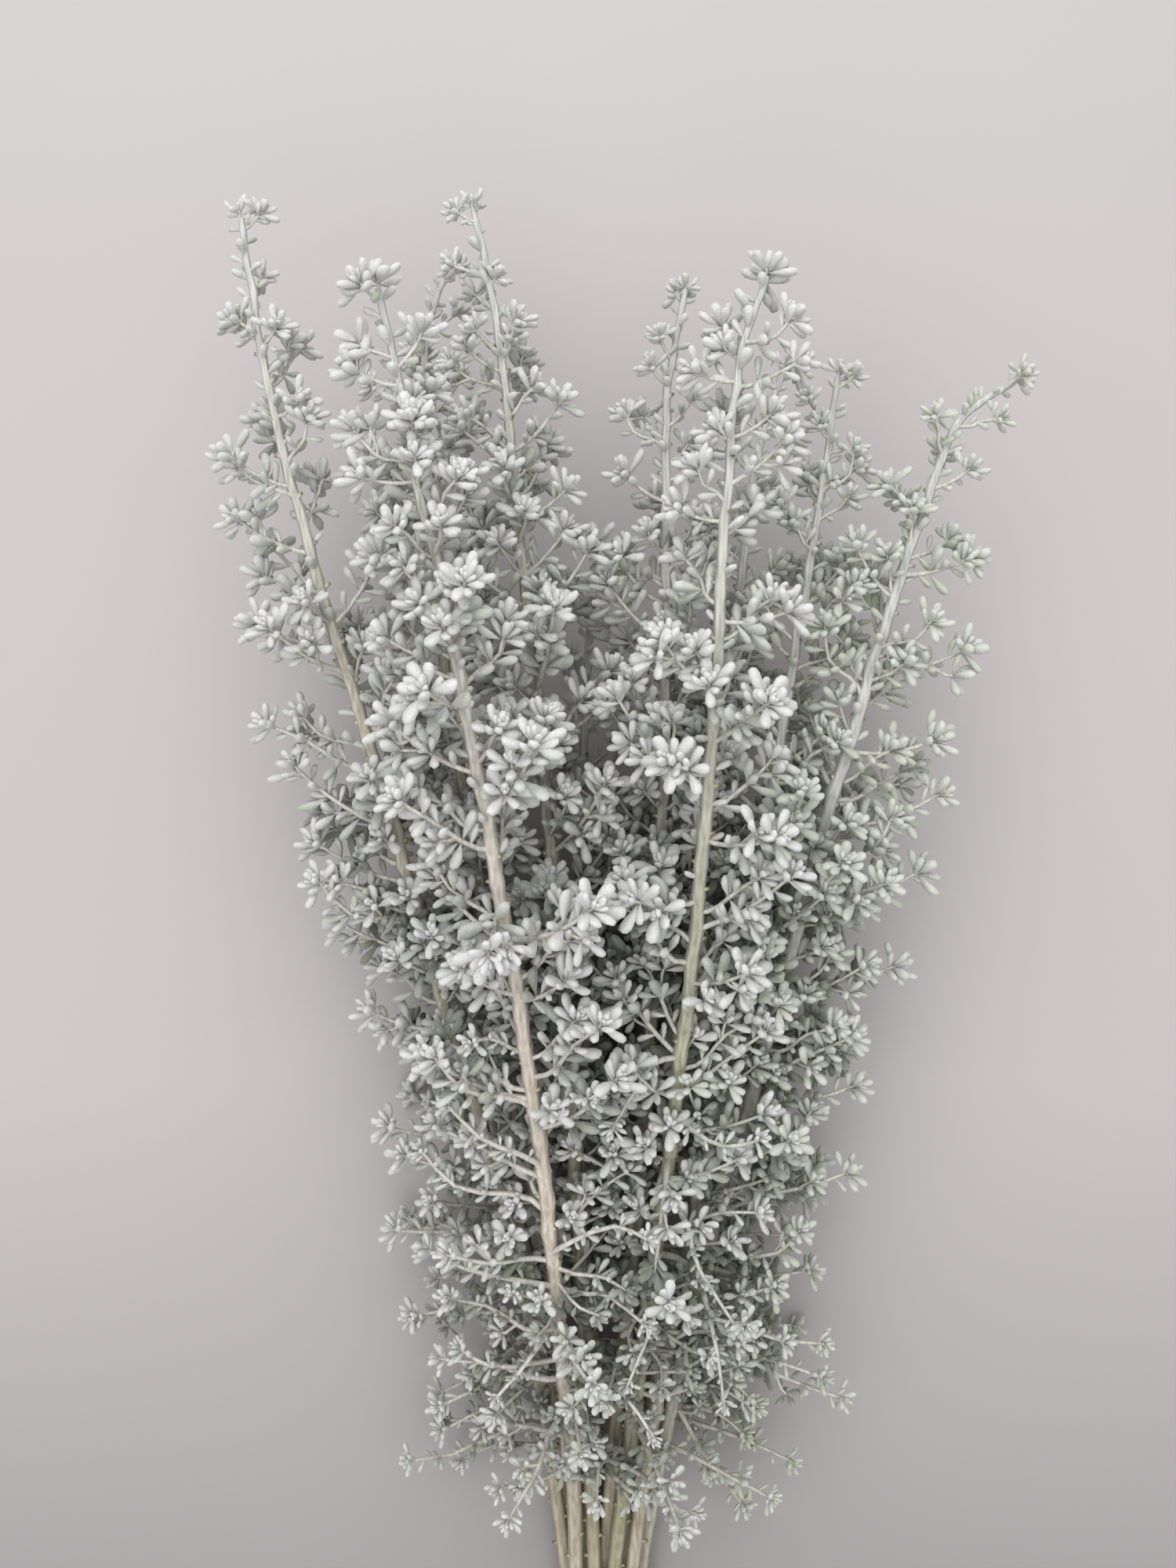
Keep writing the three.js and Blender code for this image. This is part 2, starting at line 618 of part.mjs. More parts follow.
// The elastic band: a flat strip that runs round the outermost stems.
function bandMesh() {
  const corners = [[0, 0], [0, 3], [1, 4], [2, 3], [2, 0], [1, 0]].map(([row, column]) =>
    bandPlace(row, column));
  const outline = (offset) => {
    const path = new THREE.Path();
    corners.forEach(([x, z], i) => {
      const [beforeX, beforeZ] = corners[(i + corners.length - 1) % corners.length];
      const [afterX, afterZ] = corners[(i + 1) % corners.length];
      const from = Math.atan2(z - beforeZ, x - beforeX) - Math.PI / 2;
      const to = Math.atan2(afterZ - z, afterX - x) - Math.PI / 2;
      path.absarc(x, z, offset, from, to, false);
    });
    path.closePath();
    return path;
  };
  const inside = STEM_BASE_RADIUS + BAND_CLEARANCE;
  const strip = new THREE.Shape(outline(inside + BAND_THICKNESS).getPoints(BAND_ARC_STEPS));
  strip.holes.push(new THREE.Path(outline(inside).getPoints(BAND_ARC_STEPS)));
  const form = new THREE.ExtrudeGeometry(strip, { depth: BAND_WIDTH, bevelEnabled: false });
  form.rotateX(Math.PI / 2);
  form.translate(0, BAND_WIDTH / 2, 0);
  form.deleteAttribute("normal");
  form.deleteAttribute("uv");
  return meshOf("elastic_band", solidOf(mergeVertices(form, SAME_CORNER)), BAND_COLOUR);
}

const lines = STEMS.map(stemLine);
const sprays = growSprays(lines);
const pieces = woodPieces(lines, sprays);
const bunch = new THREE.Group();
STEMS.forEach((stem, index) => {
  const own = sprays.filter((spray) => spray.stem === index);
  const forms = [stemSolid(lines[index])];
  own.forEach((spray) => forms.push(spraySolid(spray, pieces)));
  bunch.add(meshOf(stem.name, joined(forms), FELT_COLOUR));
});
bunch.add(bandMesh());

const box = new THREE.Box3().setFromObject(bunch);
const middle = box.getCenter(new THREE.Vector3());
bunch.position.set(-middle.x, -middle.y, -box.min.z);

export default bunch;
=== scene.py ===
"""Dresses the frame of a cut bunch of pearl bluebush with its bark, felted leaves and band.

Each stem of the frame is replaced by two pieces that keep its form: the wood, with every twig, and
the leaves. The growth below works in millimetres, in a frame with X across the bunch from the
middle of the band, Y along the stems towards their tips and Z up from the surface.
"""

import math
from collections import namedtuple
from functools import lru_cache, partial

import bmesh
import bpy
import numpy as np
from bpy.props import FloatProperty, FloatVectorProperty, IntProperty, PointerProperty
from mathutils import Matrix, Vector
from mathutils.kdtree import KDTree


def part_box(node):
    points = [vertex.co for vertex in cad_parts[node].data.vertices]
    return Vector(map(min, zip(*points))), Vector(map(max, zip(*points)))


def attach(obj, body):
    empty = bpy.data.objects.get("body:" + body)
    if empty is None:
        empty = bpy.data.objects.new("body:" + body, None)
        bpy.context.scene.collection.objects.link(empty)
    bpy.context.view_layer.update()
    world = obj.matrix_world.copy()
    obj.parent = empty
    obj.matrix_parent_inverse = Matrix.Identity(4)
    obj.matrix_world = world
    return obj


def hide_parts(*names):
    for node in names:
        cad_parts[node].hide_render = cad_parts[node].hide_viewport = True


bl_info = {
    "name": "Bluebush Bunch",
    "version": (1, 0, 0),
    "blender": (4, 5, 0),
    "location": "3D View > Sidebar > Bluebush",
    "description": "Grows the wood, the felted leaves and the band of a cut bunch of bluebush",
    "category": "Object",
}

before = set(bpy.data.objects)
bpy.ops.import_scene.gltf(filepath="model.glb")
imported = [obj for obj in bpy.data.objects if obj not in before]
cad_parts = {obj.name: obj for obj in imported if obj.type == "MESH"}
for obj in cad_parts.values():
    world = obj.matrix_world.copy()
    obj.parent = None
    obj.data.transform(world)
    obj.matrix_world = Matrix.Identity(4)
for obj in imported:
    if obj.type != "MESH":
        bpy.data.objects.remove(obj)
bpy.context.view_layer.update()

# Stems, all in millimetres
MM = 0.001
STEM_BASE_RADIUS, STEM_TIP_RADIUS = 2.45, 0.8
STEM_PITCH = 5.3
CUT_LENGTH, CUT_STAGGER = 84, 9
CUT_FLARE = 1.12  # how far the cut ends spread, against their places in the band
CUT_DRAW = 90
STRAIGHT_AT_BAND = 9  # how far a stem runs straight on either side of the band
STEM_SAMPLES = 120
STEM_POINTS_PER_PIECE = 2

# Elastic band. Its corners are the row and the column of the stems that it bends round.
BAND_THICKNESS, BAND_CLEARANCE = 1.2, 0.35
BAND_CORNERS = ((0, 0), (0, 3), (1, 4), (2, 3), (2, 0), (1, 0))
BAND_ARC_STEPS = 8
BAND_TURNS, BAND_TURN_PITCH = 3, 1.98
BAND_SKEW = 0.18  # how far a turn strays along the stems
BAND_SECTION, BAND_SQUARENESS = 12, 0.55  # sides of its section, and the power that squares it
BAND_MIDDLE = STEM_BASE_RADIUS + BAND_CLEARANCE + BAND_THICKNESS / 2
BAND_HALF_THICKNESS, BAND_HALF_WIDTH = 0.6, 0.93

# Side sprays: where they leave the stem, how long they grow, and how they spread and droop
FIRST_NODE, NODE_SPACING, NODE_SPACING_GROWTH = 5, 7.5, 0.008
NODE_TURN, NODE_TURN_JITTER = 2.39996, 0.7
NODES_PER_DRAWN_SPRAY = 5
BARE_BELOW = 47  # the height below which the stems carry nothing
SHORTEST_SPRAY, LONGEST_SPRAY = 5.5, 29
LOW_SPRAY_GAIN = 0.3
SPRAY_GROWTH, SPRAY_LENGTH_JITTER = 0.2, 0.36
SPREAD_AT_ROOT, SPREAD_AT_TIP = 1.1, 0.66
DROOP_AT_ROOT, DROOP_AT_TIP = 1.4, 1.75
DROOP_FROM, DROOP_FULL = 150, 60
SPRAY_BEND_SHARE, SPRAY_START_BEND = 0.45, -0.35
SPRAY_FLOOR = 3.2  # how far above the surface a twig keeps
ROSETTE_REACH = 3.5  # how far its last leaves reach past a twig's end
TWIG_TIP_RADIUS, TWIG_GROWTH = 0.42, 0.014
TWIG_FACET_GAIN, TWIG_PIECES = 1.2, 6  # what facets add to a twig, and its pieces in Outside
NEAR_NODE = 12  # a node this near to a led spray grows none of its own
CROWN_LENGTH = 11

# Leaves that the frame has
NODE_LENGTH, NODE_GAP = 1.3, 10
NODE_RADIUS, INLINE_NODE_RADIUS = 0.9, 0.75
BARE_SHARE = 0.25  # the part of a spray, from its root, that has no leaves
LONG_LEAF = 7.6
OUTER_LEAF, INNER_LEAF, CENTRE_LEAF, INLINE_LEAF = 0.95, 0.82, 0.66, 1
OUTER_YOUTH, INNER_YOUTH, CENTRE_YOUTH, INLINE_YOUTH = 0.5, 0.75, 1, 0.25
STEM_TIP_VIGOUR, VIGOUR_FROM = 0.8, 90
LEAF_LENGTH_JITTER = 0.24
INLINE_SPREAD, LOWER_SPREAD, UPPER_SPREAD, CENTRE_SPREAD = 1.15, 1.35, 0.78, 0.15
SPREAD_JITTER = 0.3
DRAWS_PER_NODE, SPREAD_DRAW = 10, 50
MOST_LEVELLING = 0.6  # a leaf that the surface turns aside by more than this is left out
LEAF_RADIUS_SHARE = 0.17
LEAF_FLOOR = 0.4  # how far above the surface the line of a leaf keeps
SPRAY_SAMPLES = 16
SPRAY_AIR, LEAF_AIR = 1.0, 0.35
TOO_SHORT = 1e-3
REACHES = (1, 0.85, 0.7)  # the lengths tried in turn, until a spray is clear of other stems
TURNS = (0, 0.5, -0.5, 1.0, -1.0)  # the turns tried in turn, likewise

# The first number of each kind of spray, which keeps their random draws apart
CROWN_ITEM, LED_ITEM, EXTRA_ITEM, COVER_ITEM, BETWEEN_ITEM = 99, 100, 1000, 2000, 4000
FILL_ITEM, WHIP_ITEM, STEM_LEAF_ITEM, SIDE_ITEM = 6000, 7000, 9000, 20000

# Twigs that the frame leaves to this script. A pair of shares is a least value and a random part.
SIDE_SPRAYS = ((17, 0.62), (25, 0.4))
SIDE_SPRAY_LENGTH, SIDE_SPRAY_SPREAD, SIDE_SPRAY_SHARES = 6.0, 0.95, (0.75, 0.5)
OPEN_SIDE = 0.75  # sprays that point up more than this would cover a stem that stays in view
FREE_SWING = 0.75  # how far fills and whips swing out on their way
TWIG_WAVES, TWIG_SWAY = 1.15, 0.05
BETWEEN_FROM, BETWEEN_TO, BETWEEN_TURN, BETWEEN_REACH = 22, 215, math.pi - 0.6, 0.8
COVER_LENGTH, COVER_SWING, COVER_SHARES = 11, 1.1, (0.6, 0.8)
OPEN_FROM, OPEN_COVER = 60, 0.2  # where a stem in view has cover sprays, and their share
CROWD_REACH, CROWD_MOST = 8, 24  # more leaves than this, this near, shed a spray
FRAME_PIECES, WOOD_PIECES, MOST_LEAVES = 6000, 2000, 40000

# Leaves that the frame leaves to this script. Youth is 1 in the whitest leaves and 0 in the oldest.
WHIP_LEAF = 0.66
# Leaves high on top of the bunch grow larger, and are drawn whiter as painted light.
TOP_ROW, TOP_LEAF, TOP_PAINTED_LIGHT = (72, 96), 0.08, 0.12
LOW_LEAF, LOW_YOUTH, LOW_FROM, LOW_TO = 0.66, 0.5, 60, 185
TWIG_LEAF, TWIG_LEAF_SPREAD, TWIG_LEAF_YOUTH, TWIG_LEAF_DRAW = 0.82, 1.0, 0.3, 500
TWIG_LEAF_GAP, TWIG_LEAF_SHARES = 2.9, (0.75, 0.5)
TWIG_LEAVES_FROM, TWIG_LEAVES_END = 1.5, 2.5
# Each tier: how far below the twig's end, its turn, spread, share of the leaf length and youth
ROSETTE_TIERS = ((1.6, 0.5, 1.12, 0.86, 0.55), (0.2, 1.4, 0.55, 0.58, 0.85),
                 (-0.3, 0.3, 0.3, 0.42, 1.0))
TIER_DRAW = 700
STEM_LEAF_GAP, STEM_LEAF_GAP_GROWTH = 1.3, 0.06
TOP_STEM_LEAF, LOW_STEM_LEAF, STEM_LEAF_CHANGE = 0.98, 0.8, (70, 25)
STEM_LEAF_SPREADS, STEM_LEAF_YOUTH, STEM_LEAF_FOOT = (0.75, 0.5), 0.45, 3
STEM_LEAVES_TO = 150
ADDED_LEAF = 0.87  # the size of these leaves against the frame's
LEAF_SINK, LEAF_HALF = 0.5, 0.2  # how deep a leaf's foot is sunk, and half its width as a share
LEAST_UPPER = 0.05  # below this a leaf points along its twig, and has no upper side of its own
TIP_LEAF, TIP_LEAF_TO = 0.8, 60
# Painted shade: a leaf is drawn darker, and greener as leaves grown in shade are, the more leaves
# within reach lie over it by the gap. Higher up the bunch is airy, so its leaves get less of that
# painted shade there, and a painted shade dims their whites a little.
COVER_REACH, COVER_GAP, COVERED = 13, 3, (15, 52)
# Where the bunch is airy: the share of painted shade its leaves are spared, and a painted shade
# that dims their whites.
AIRY, AIRY_SHARE, AIRY_PAINTED_SHADE = (180, 280), 0.85, -0.15
BUD_LENGTH = 4.2
LEAF_WIDTHS = (0.95, 1.08, 0.86, 1.14, 1.0)
LEAF_SWAYS = (0.05, -0.06, 0.0, 0.03, -0.03)
LEAF_FORMS = len(LEAF_WIDTHS)
LEAF_SWELL = (0.1, 0.72)  # the stretch over which a leaf widens from its foot
NEVER_ZERO = 1.001  # just over the ball's radius squared, so that its girth is never zero

# Wood: its knots and kinks, its felted tips, and the stubs that shed leaves leave on it
WOOD_STEP, STEM_DRAW = 2.0, 0.86  # the draws are radii against those of the frame
KNOT_GAIN, KNOT_LENGTH = 0.2, 1.6
KINK, KINK_AXIS = 0.45, (0.3, 0.2, 1)
FELTED_TIP, FELT_AT_TIP = 170, 1.15
STUB_FROM, STUB_TO, STUB_GAP, STUB_GAP_JITTER = 30, 8, 6.5, 0.7
STUB_TURN, STUB_TURN_JITTER = 0.3, 1.6
STUB_LENGTH, STUB_SHARES, STUB_DEPTH, STUB_LEAN = 0.9, (0.5, 1), 0.3, (0, 0.5, 0.9)
STUB_RADIUS, STUB_TAPER = 0.55, (1.3, 1, 0.8)
YOUNG_STUBS = 170
TWIG_POINTS, SHORT_TWIG_POINTS, LONG_TWIG = 7, 4, 12
TWIG_DRAW, TWIG_FELT = 0.98, 0.6

# Stage, in metres from the middle of the band
LIGHTS = (("key light", (-0.05, 1.0, 0.75), 1.1, "key_power"),
          ("fill light", (-0.1, 0.1, 1.1), 1.2, "fill_power"))
LIGHTS_AIM = (0, 0.2, 0.04)
FLOOR_HALF, FLOOR_DROP = 3.0, 0.0002
# Stretches along the bunch, in metres: where the bark's wear ends, where the board's painted shade
# fades out, and where its painted light tint turns it greyer past the tips
WORN_FOOT, PAINTED_SHADE_FLOOR, PAINTED_LIGHT_FLOOR = (-0.17, -0.08), (-0.2, 0.0), (0.25, 0.33)

# The stems, with their places and distances in millimetres. What a stem doesn't say is as in
# PLAIN_STEM.
#   row, column: its place in the band, from the surface up and from the left
#   thickening: the distance from the tip over which it gains most of its thickness
#   hidden: stretches, as distances from the tip, whose upper side leaves hide
#   green, leaf_green: how green its bark and its leaves are, from 0 to 1
#   felted: the distance from the tip over which its bark is felted
#   tip_leaf: the size of the leaves at its tip, as a share of the others
#   route: the points that it passes through, above the band
#   sprays: sprays that are led to a place, each as the height where it leaves the stem, then the
#       point that it ends at, and a last number where it starts off bent another way than most
#   fills: further led sprays, which close gaps
#   whips: further led sprays low on the bunch, with small leaves
ROW_COLUMNS = (4, 5, 4)
PLAIN_STEM = {"thickening": 150, "hidden": ((0, 400),), "green": 0.3, "leaf_green": 0.05,
              "felted": FELTED_TIP, "tip_leaf": TIP_LEAF, "sprays": (), "fills": (), "whips": ()}
STEMS = tuple({**PLAIN_STEM, **stem} for stem in (
    {"name": "stem_far_left", "row": 1, "column": 0, "hidden": ((150, 400),), "green": 0.4,
     "felted": 120,
     "route": [(-24, 107, 25), (-39, 164, 40), (-54, 224, 55), (-73, 294, 69), (-83, 335, 73),
               (-90, 378, 75)],
     "sprays": [(349, -94, 353, 76), (345, -78, 351, 80), (328, -72, 332, 80),
                (311, -95, 319, 78), (295, -95, 305, 70), (272, -91, 279, 68),
                (226, -82, 244, 62), (212, -78, 224, 56), (194, -73, 202, 48),
                (172, -66, 178, 44), (142, -62, 146, 40), (118, -61, 116, 35),
                (100, -57, 90, 30), (84, -49, 66, 26)],
     "fills": [(240, -52, 253, 62), (262, -60, 276, 64), (196, -60, 211, 52)]},
    {"name": "stem_nodding", "row": 1, "column": 1, "thickening": 230, "hidden": ((60, 400),),
     "green": 0.6, "felted": 70,
     "route": [(-12, 80, 17), (-30, 180, 30), (-43, 270, 38), (-48, 345, 41), (-45, 368, 42),
               (-39, 376, 43)],
     "sprays": [(338, -57, 342, 44), (326, -38, 334, 46)],
     "fills": [(340, -66, 344, 46), (352, -54, 356, 44), (300, -64, 311, 48),
               (285, -61, 299, 48), (268, -64, 281, 47),
               (252, -58, 266, 46), (314, -66, 327, 48), (230, -56, 246, 44),
               (196, -60, 206, 42), (178, -58, 190, 40)]},
    {"name": "stem_front_left", "row": 2, "column": 0, "thickening": 120,
     "hidden": ((34, 76), (250, 400)), "green": 0.05, "tip_leaf": 1.15,
     "route": [(-9, 51, 26), (-13, 101, 43), (-19, 165, 66), (-29, 231, 85), (-41, 295, 98),
               (-52, 351, 104)],
     "sprays": [(328, -61, 333, 102), (307, -60, 308, 100), (288, -57, 291, 98),
                (256, -42, 259, 112), (240, -54, 254, 92), (230, -15, 249, 107),
                (200, -1, 210, 100), (208, -28, 196, 99, 0.3), (184, -7, 192, 82),
                (158, -48, 172, 73), (150, 5, 168, 80)],
     "fills": [(136, -46, 152, 60), (82, -43, 88, 46), (322, -42, 328, 102),
               (334, -60, 339, 103), (310, -61, 320, 100), (92, -45, 105, 48),
               (76, -47, 86, 44), (104, -52, 116, 48), (106, 1, 98, 56), (92, -8, 84, 50),
               (84, 6, 74, 48), (112, 9, 108, 60), (98, -19, 92, 54)],
     "whips": [(170, -36, 176, 80, 0.3), (152, -2, 163, 82, 0.2), (104, 12, 101, 66, 0.7),
               (114, 15, 126, 70, 0.3), (138, -44, 160, 70, 0.2), (126, -52, 144, 58, 0.2),
               (88, -32, 72, 50, 0.8), (78, 16, 66, 54, 0.6), (96, -26, 108, 58, 0.3)]},
    {"name": "stem_left", "row": 2, "column": 1, "hidden": ((60, 400),), "green": 0.6,
     "route": [(-5, 70, 22), (-9, 150, 37), (-15, 230, 50), (-22, 301, 59), (-27, 350, 62),
               (-34, 385, 62)],
     "sprays": [(350, -20, 357, 66), (342, -38, 349, 66), (322, -9, 337, 64), (305, -7, 314, 64),
                (280, -2, 300, 62)],
     "fills": [(336, -43, 345, 64), (322, -38, 333, 64), (344, -22, 353, 64),
               (330, -16, 341, 64), (366, -43, 370, 63), (364, -25, 369, 63)]},
    {"name": "stem_right", "row": 1, "column": 2, "hidden": ((90, 400),),
     "route": [(4, 60, 17), (9, 120, 29), (14, 200, 41), (16, 270, 50), (16, 335, 53),
               (21, 367, 53)],
     "sprays": [(341, 9, 348, 56), (330, 25, 340, 56), (311, 2, 320, 55), (275, -2, 292, 58)]},
    {"name": "stem_front_right", "row": 2, "column": 2, "thickening": 140,
     "hidden": ((232, 400),), "green": 0.85, "tip_leaf": 1.12,
     "route": [(10, 80, 31), (17, 145, 52), (22, 201, 72), (25, 244, 83), (27, 290, 91),
               (30, 331, 94), (37, 357, 95)],
     "sprays": [(331, 17, 334, 95), (318, 41, 325, 96), (299, 13, 303, 92), (276, 47, 279, 90),
                (252, 39, 257, 103), (240, 12, 243, 97), (224, 43, 225, 92), (209, 4, 210, 90),
                (188, 37, 193, 82), (148, 44, 154, 60), (140, 12, 110, 62, 0.9)],
     "fills": [(84, 38, 92, 50), (120, 44, 128, 54), (340, 46, 347, 96), (330, 48, 337, 95),
               (336, 24, 341, 95), (318, 22, 322, 93), (106, 22, 98, 58), (94, 31, 86, 52),
               (88, 16, 76, 50), (116, 12, 106, 60), (98, 6, 86, 54)],
     "whips": [(130, 34, 96, 62, 0.9), (152, 42, 148, 72, 0.2), (112, 32, 72, 52, 0.8),
               (104, 6, 80, 58, 0.8), (168, 0, 150, 74, 0.9), (92, 26, 112, 58, 0.2)]},
    {"name": "stem_back_right", "row": 1, "column": 3, "hidden": ((80, 400),),
     "leaf_green": 0.4, "felted": 300,
     "route": [(9, 60, 14), (17, 130, 23), (28, 210, 33), (35, 280, 39), (41, 325, 42),
               (48, 350, 43)],
     "sprays": [(332, 34, 337, 42)]},
    {"name": "stem_upper_right", "row": 2, "column": 3, "hidden": ((110, 400),),
     "leaf_green": 0.4, "felted": 300,
     "route": [(14, 60, 22), (26, 130, 36), (38, 200, 47), (47, 260, 54), (54, 302, 57),
               (60, 344, 58)],
     "sprays": [(326, 52, 332, 60), (315, 68, 320, 60), (300, 42, 312, 60)],
     "fills": [(331, 49, 339, 60), (312, 66, 325, 62), (284, 64, 298, 60)]},
    {"name": "stem_far_right", "row": 1, "column": 4, "thickening": 100, "hidden": ((130, 400),),
     "green": 0.35, "leaf_green": 0.5, "felted": 450,
     "route": [(19, 60, 17), (30, 112, 28), (47, 184, 45), (60, 241, 60), (71, 280, 66),
               (80, 308, 69), (88, 328, 70), (103, 338, 70)],
     "sprays": [(311, 93, 317, 73), (306, 67, 314, 71), (290, 94, 295, 72), (284, 60, 300, 71),
                (266, 93, 272, 70), (250, 58, 262, 64), (246, 86, 249, 67), (226, 88, 236, 62),
                (206, 85, 216, 54), (186, 80, 190, 48), (152, 70, 158, 44), (126, 69, 134, 40),
                (104, 60, 105, 34), (88, 69, 66, 28), (64, 42, 29, 16)],
     "fills": [(238, 75, 249, 66), (218, 77, 231, 62), (180, 62, 196, 54), (170, 54, 186, 52),
               (138, 58, 153, 46), (124, 52, 140, 44), (178, 71, 191, 52), (160, 66, 168, 48),
               (296, 76, 309, 74), (284, 69, 298, 72), (106, 56, 120, 46), (92, 48, 104, 44),
               (72, 38, 84, 42)]},
    {"name": "stem_under_left", "row": 0, "column": 0,
     "route": [(-16, 80, 11), (-37, 160, 18), (-52, 220, 24), (-62, 262, 28)]},
    {"name": "stem_under_mid", "row": 0, "column": 1,
     "route": [(-3, 80, 10), (-5, 150, 17), (-6, 230, 25), (-4, 288, 31)]},
    {"name": "stem_under_right", "row": 0, "column": 2, "leaf_green": 0.6,
     "route": [(6, 80, 10), (14, 160, 16), (21, 230, 22), (27, 276, 27)]},
    {"name": "stem_under_far_right", "row": 0, "column": 3, "leaf_green": 0.9,
     "route": [(17, 80, 11), (38, 160, 18), (53, 215, 24), (62, 252, 28)]},
))

StemLine = namedtuple("StemLine", "points from_tip length thickening")
Spray = namedtuple("Spray", "stem item from_tip root bend end length root_radius")
Leaf = namedtuple("Leaf", "root heading upper length youth")

WORD = 0xFFFFFFFF


def chance(a, b, c):
    """A repeatable random number from 0 to 1 for draw c of item b on stem a.

    Each use has a draw of its own.
    """
    h = (((a + 1) * 374761393) ^ ((b + 1) * 668265263) ^ ((c + 1) * 1274126177)) & WORD
    h = ((h ^ (h >> 13)) * 1274126177) & WORD
    h = ((h ^ (h >> 15)) * 668265263) & WORD
    return (h ^ (h >> 16)) / (WORD + 1)


def swing(a, b, c):
    """A repeatable random number from -1 to 1."""
    return 2 * chance(a, b, c) - 1


def jitter(width, a, b, c):
    """A repeatable random number, as far below zero as above, from a range of some width."""
    return width * (chance(a, b, c) - 0.5)


def drawn_from(shares, a, b, c):
    """A least value and a repeatable random part of the second one."""
    return shares[0] + shares[1] * chance(a, b, c)


def blend(first, last, share):
    return first + (last - first) * share


def unit(vector):
    return vector / math.sqrt(vector @ vector)


def leaning(along, outward, angle):
    """The direction that leaves another one at an angle."""
    return along * math.cos(angle) + outward * math.sin(angle)


def square_to(along, turn):
    """The direction square to a stem, turned from its side towards its upper side."""
    across = unit(np.cross(along, (0, 0, 1)))
    return leaning(across, np.cross(across, along), turn)


def span(a, b):
    gap = b - a
    return math.sqrt(gap @ gap)


def smooth_step(low, high, value):
    t = min(1, max(0, (value - low) / (high - low)))
    return t * t * (3 - 2 * t)


def band_place(row, column):
    """Where a stem passes through the band: columns side by side, rows nested in each other."""
    x = (column - (ROW_COLUMNS[row] - 1) / 2) * STEM_PITCH
    row_rise = STEM_PITCH * math.sin(math.pi / 3)
    z = BAND_THICKNESS + BAND_CLEARANCE + STEM_BASE_RADIUS + row * row_rise
    return x, z


def curve_through(through, share):
    """A point of the smooth curve through some points, by Catmull and Rom's rule."""
    place = share * (len(through) - 1)
    i = min(int(place), len(through) - 2)
    t = place - i
    p1, p2 = through[i], through[i + 1]
    p0 = through[i - 1] if i > 0 else 2 * p1 - p2
    p3 = through[i + 2] if i + 2 < len(through) else 2 * p2 - p1
    slope1, slope2 = (p2 - p0) / 2, (p3 - p1) / 2
    square = -3 * p1 + 3 * p2 - 2 * slope1 - slope2
    cube = 2 * p1 - 2 * p2 + slope1 + slope2
    return p1 + t * (slope1 + t * (square + t * cube))


def stem_line(stem, index):
    """A stem's centre line as evenly drawn points, with the distance of each from the tip."""
    x, z = band_place(stem["row"], stem["column"])
    cut_y = -CUT_LENGTH - jitter(CUT_STAGGER, index, 0, CUT_DRAW)
    cut_z = z - BAND_THICKNESS - BAND_CLEARANCE
    through = [(x * CUT_FLARE, cut_y, cut_z), (x, -STRAIGHT_AT_BAND, z), (x, STRAIGHT_AT_BAND, z)]
    through = [np.array(p, float) for p in through + stem["route"]]
    points = [curve_through(through, i / STEM_SAMPLES) for i in range(STEM_SAMPLES + 1)]
    from_tip = [0.0] * len(points)
    for i in range(len(points) - 2, -1, -1):
        from_tip[i] = from_tip[i + 1] + span(points[i], points[i + 1])
    return StemLine(np.array(points), np.array(from_tip), from_tip[0], stem["thickening"])


def stem_radius(line, from_tip):
    grown = 1 - np.exp(-from_tip / line.thickening)
    full = 1 - math.exp(-line.length / line.thickening)
    return blend(STEM_TIP_RADIUS, STEM_BASE_RADIUS, grown / full)


def stem_at(line, from_tip):
    """The point and direction of a stem at a distance from its tip."""
    i = len(line.points) - 2
    while i > 0 and line.from_tip[i] < from_tip:
        i -= 1
    share = (from_tip - line.from_tip[i + 1]) / (line.from_tip[i] - line.from_tip[i + 1])
    low, high = line.points[i], line.points[i + 1]
    return blend(high, low, share), unit(high - low)


def from_tip_at_height(line, y):
    """The distance from the tip at which a stem passes a height along the bunch."""
    i = len(line.points) - 2
    while i > 0 and line.points[i][1] > y:
        i -= 1
    share = (y - line.points[i][1]) / (line.points[i + 1][1] - line.points[i][1])
    return blend(line.from_tip[i], line.from_tip[i + 1], share)


def off_the_surface(point, height):
    return np.array((point[0], point[1], max(point[2], height)))


def make_spray(stem, item, from_tip, root, bend, end):
    """A spray that bends once, kept off the surface."""
    bend, end = off_the_surface(bend, SPRAY_FLOOR), off_the_surface(end, SPRAY_FLOOR)
    length = span(root, bend) + span(bend, end)
    root_radius = TWIG_TIP_RADIUS + TWIG_GROWTH * length
    return Spray(stem, item, from_tip, root, bend, end, length, root_radius)


def bent_spray(stem, item, from_tip, root, headings, length, share=0.5):
    """A spray with one heading up to a share of its length, and another beyond it."""
    bend = root + headings[0] * (length * share)
    end = bend + headings[1] * (length * (1 - share))
    return make_spray(stem, item, from_tip, root, bend, end)


def spray_point(spray, share):
    """A point of a spray. The twigs that the frame doesn't have also sway a little."""
    back = 1 - share
    point = back * back * spray.root + 2 * back * share * spray.bend + share * share * spray.end
    if spray.item >= EXTRA_ITEM:
        sway = [swing(spray.stem, spray.item, draw) for draw in (13, 14, 15)]
        wave = math.sin(2 * math.pi * TWIG_WAVES * share) * TWIG_SWAY * spray.length
        point = point + np.array(sway) * wave
    return point


def spray_heading(spray, share):
    return unit((1 - share) * (spray.bend - spray.root) + share * (spray.end - spray.bend))


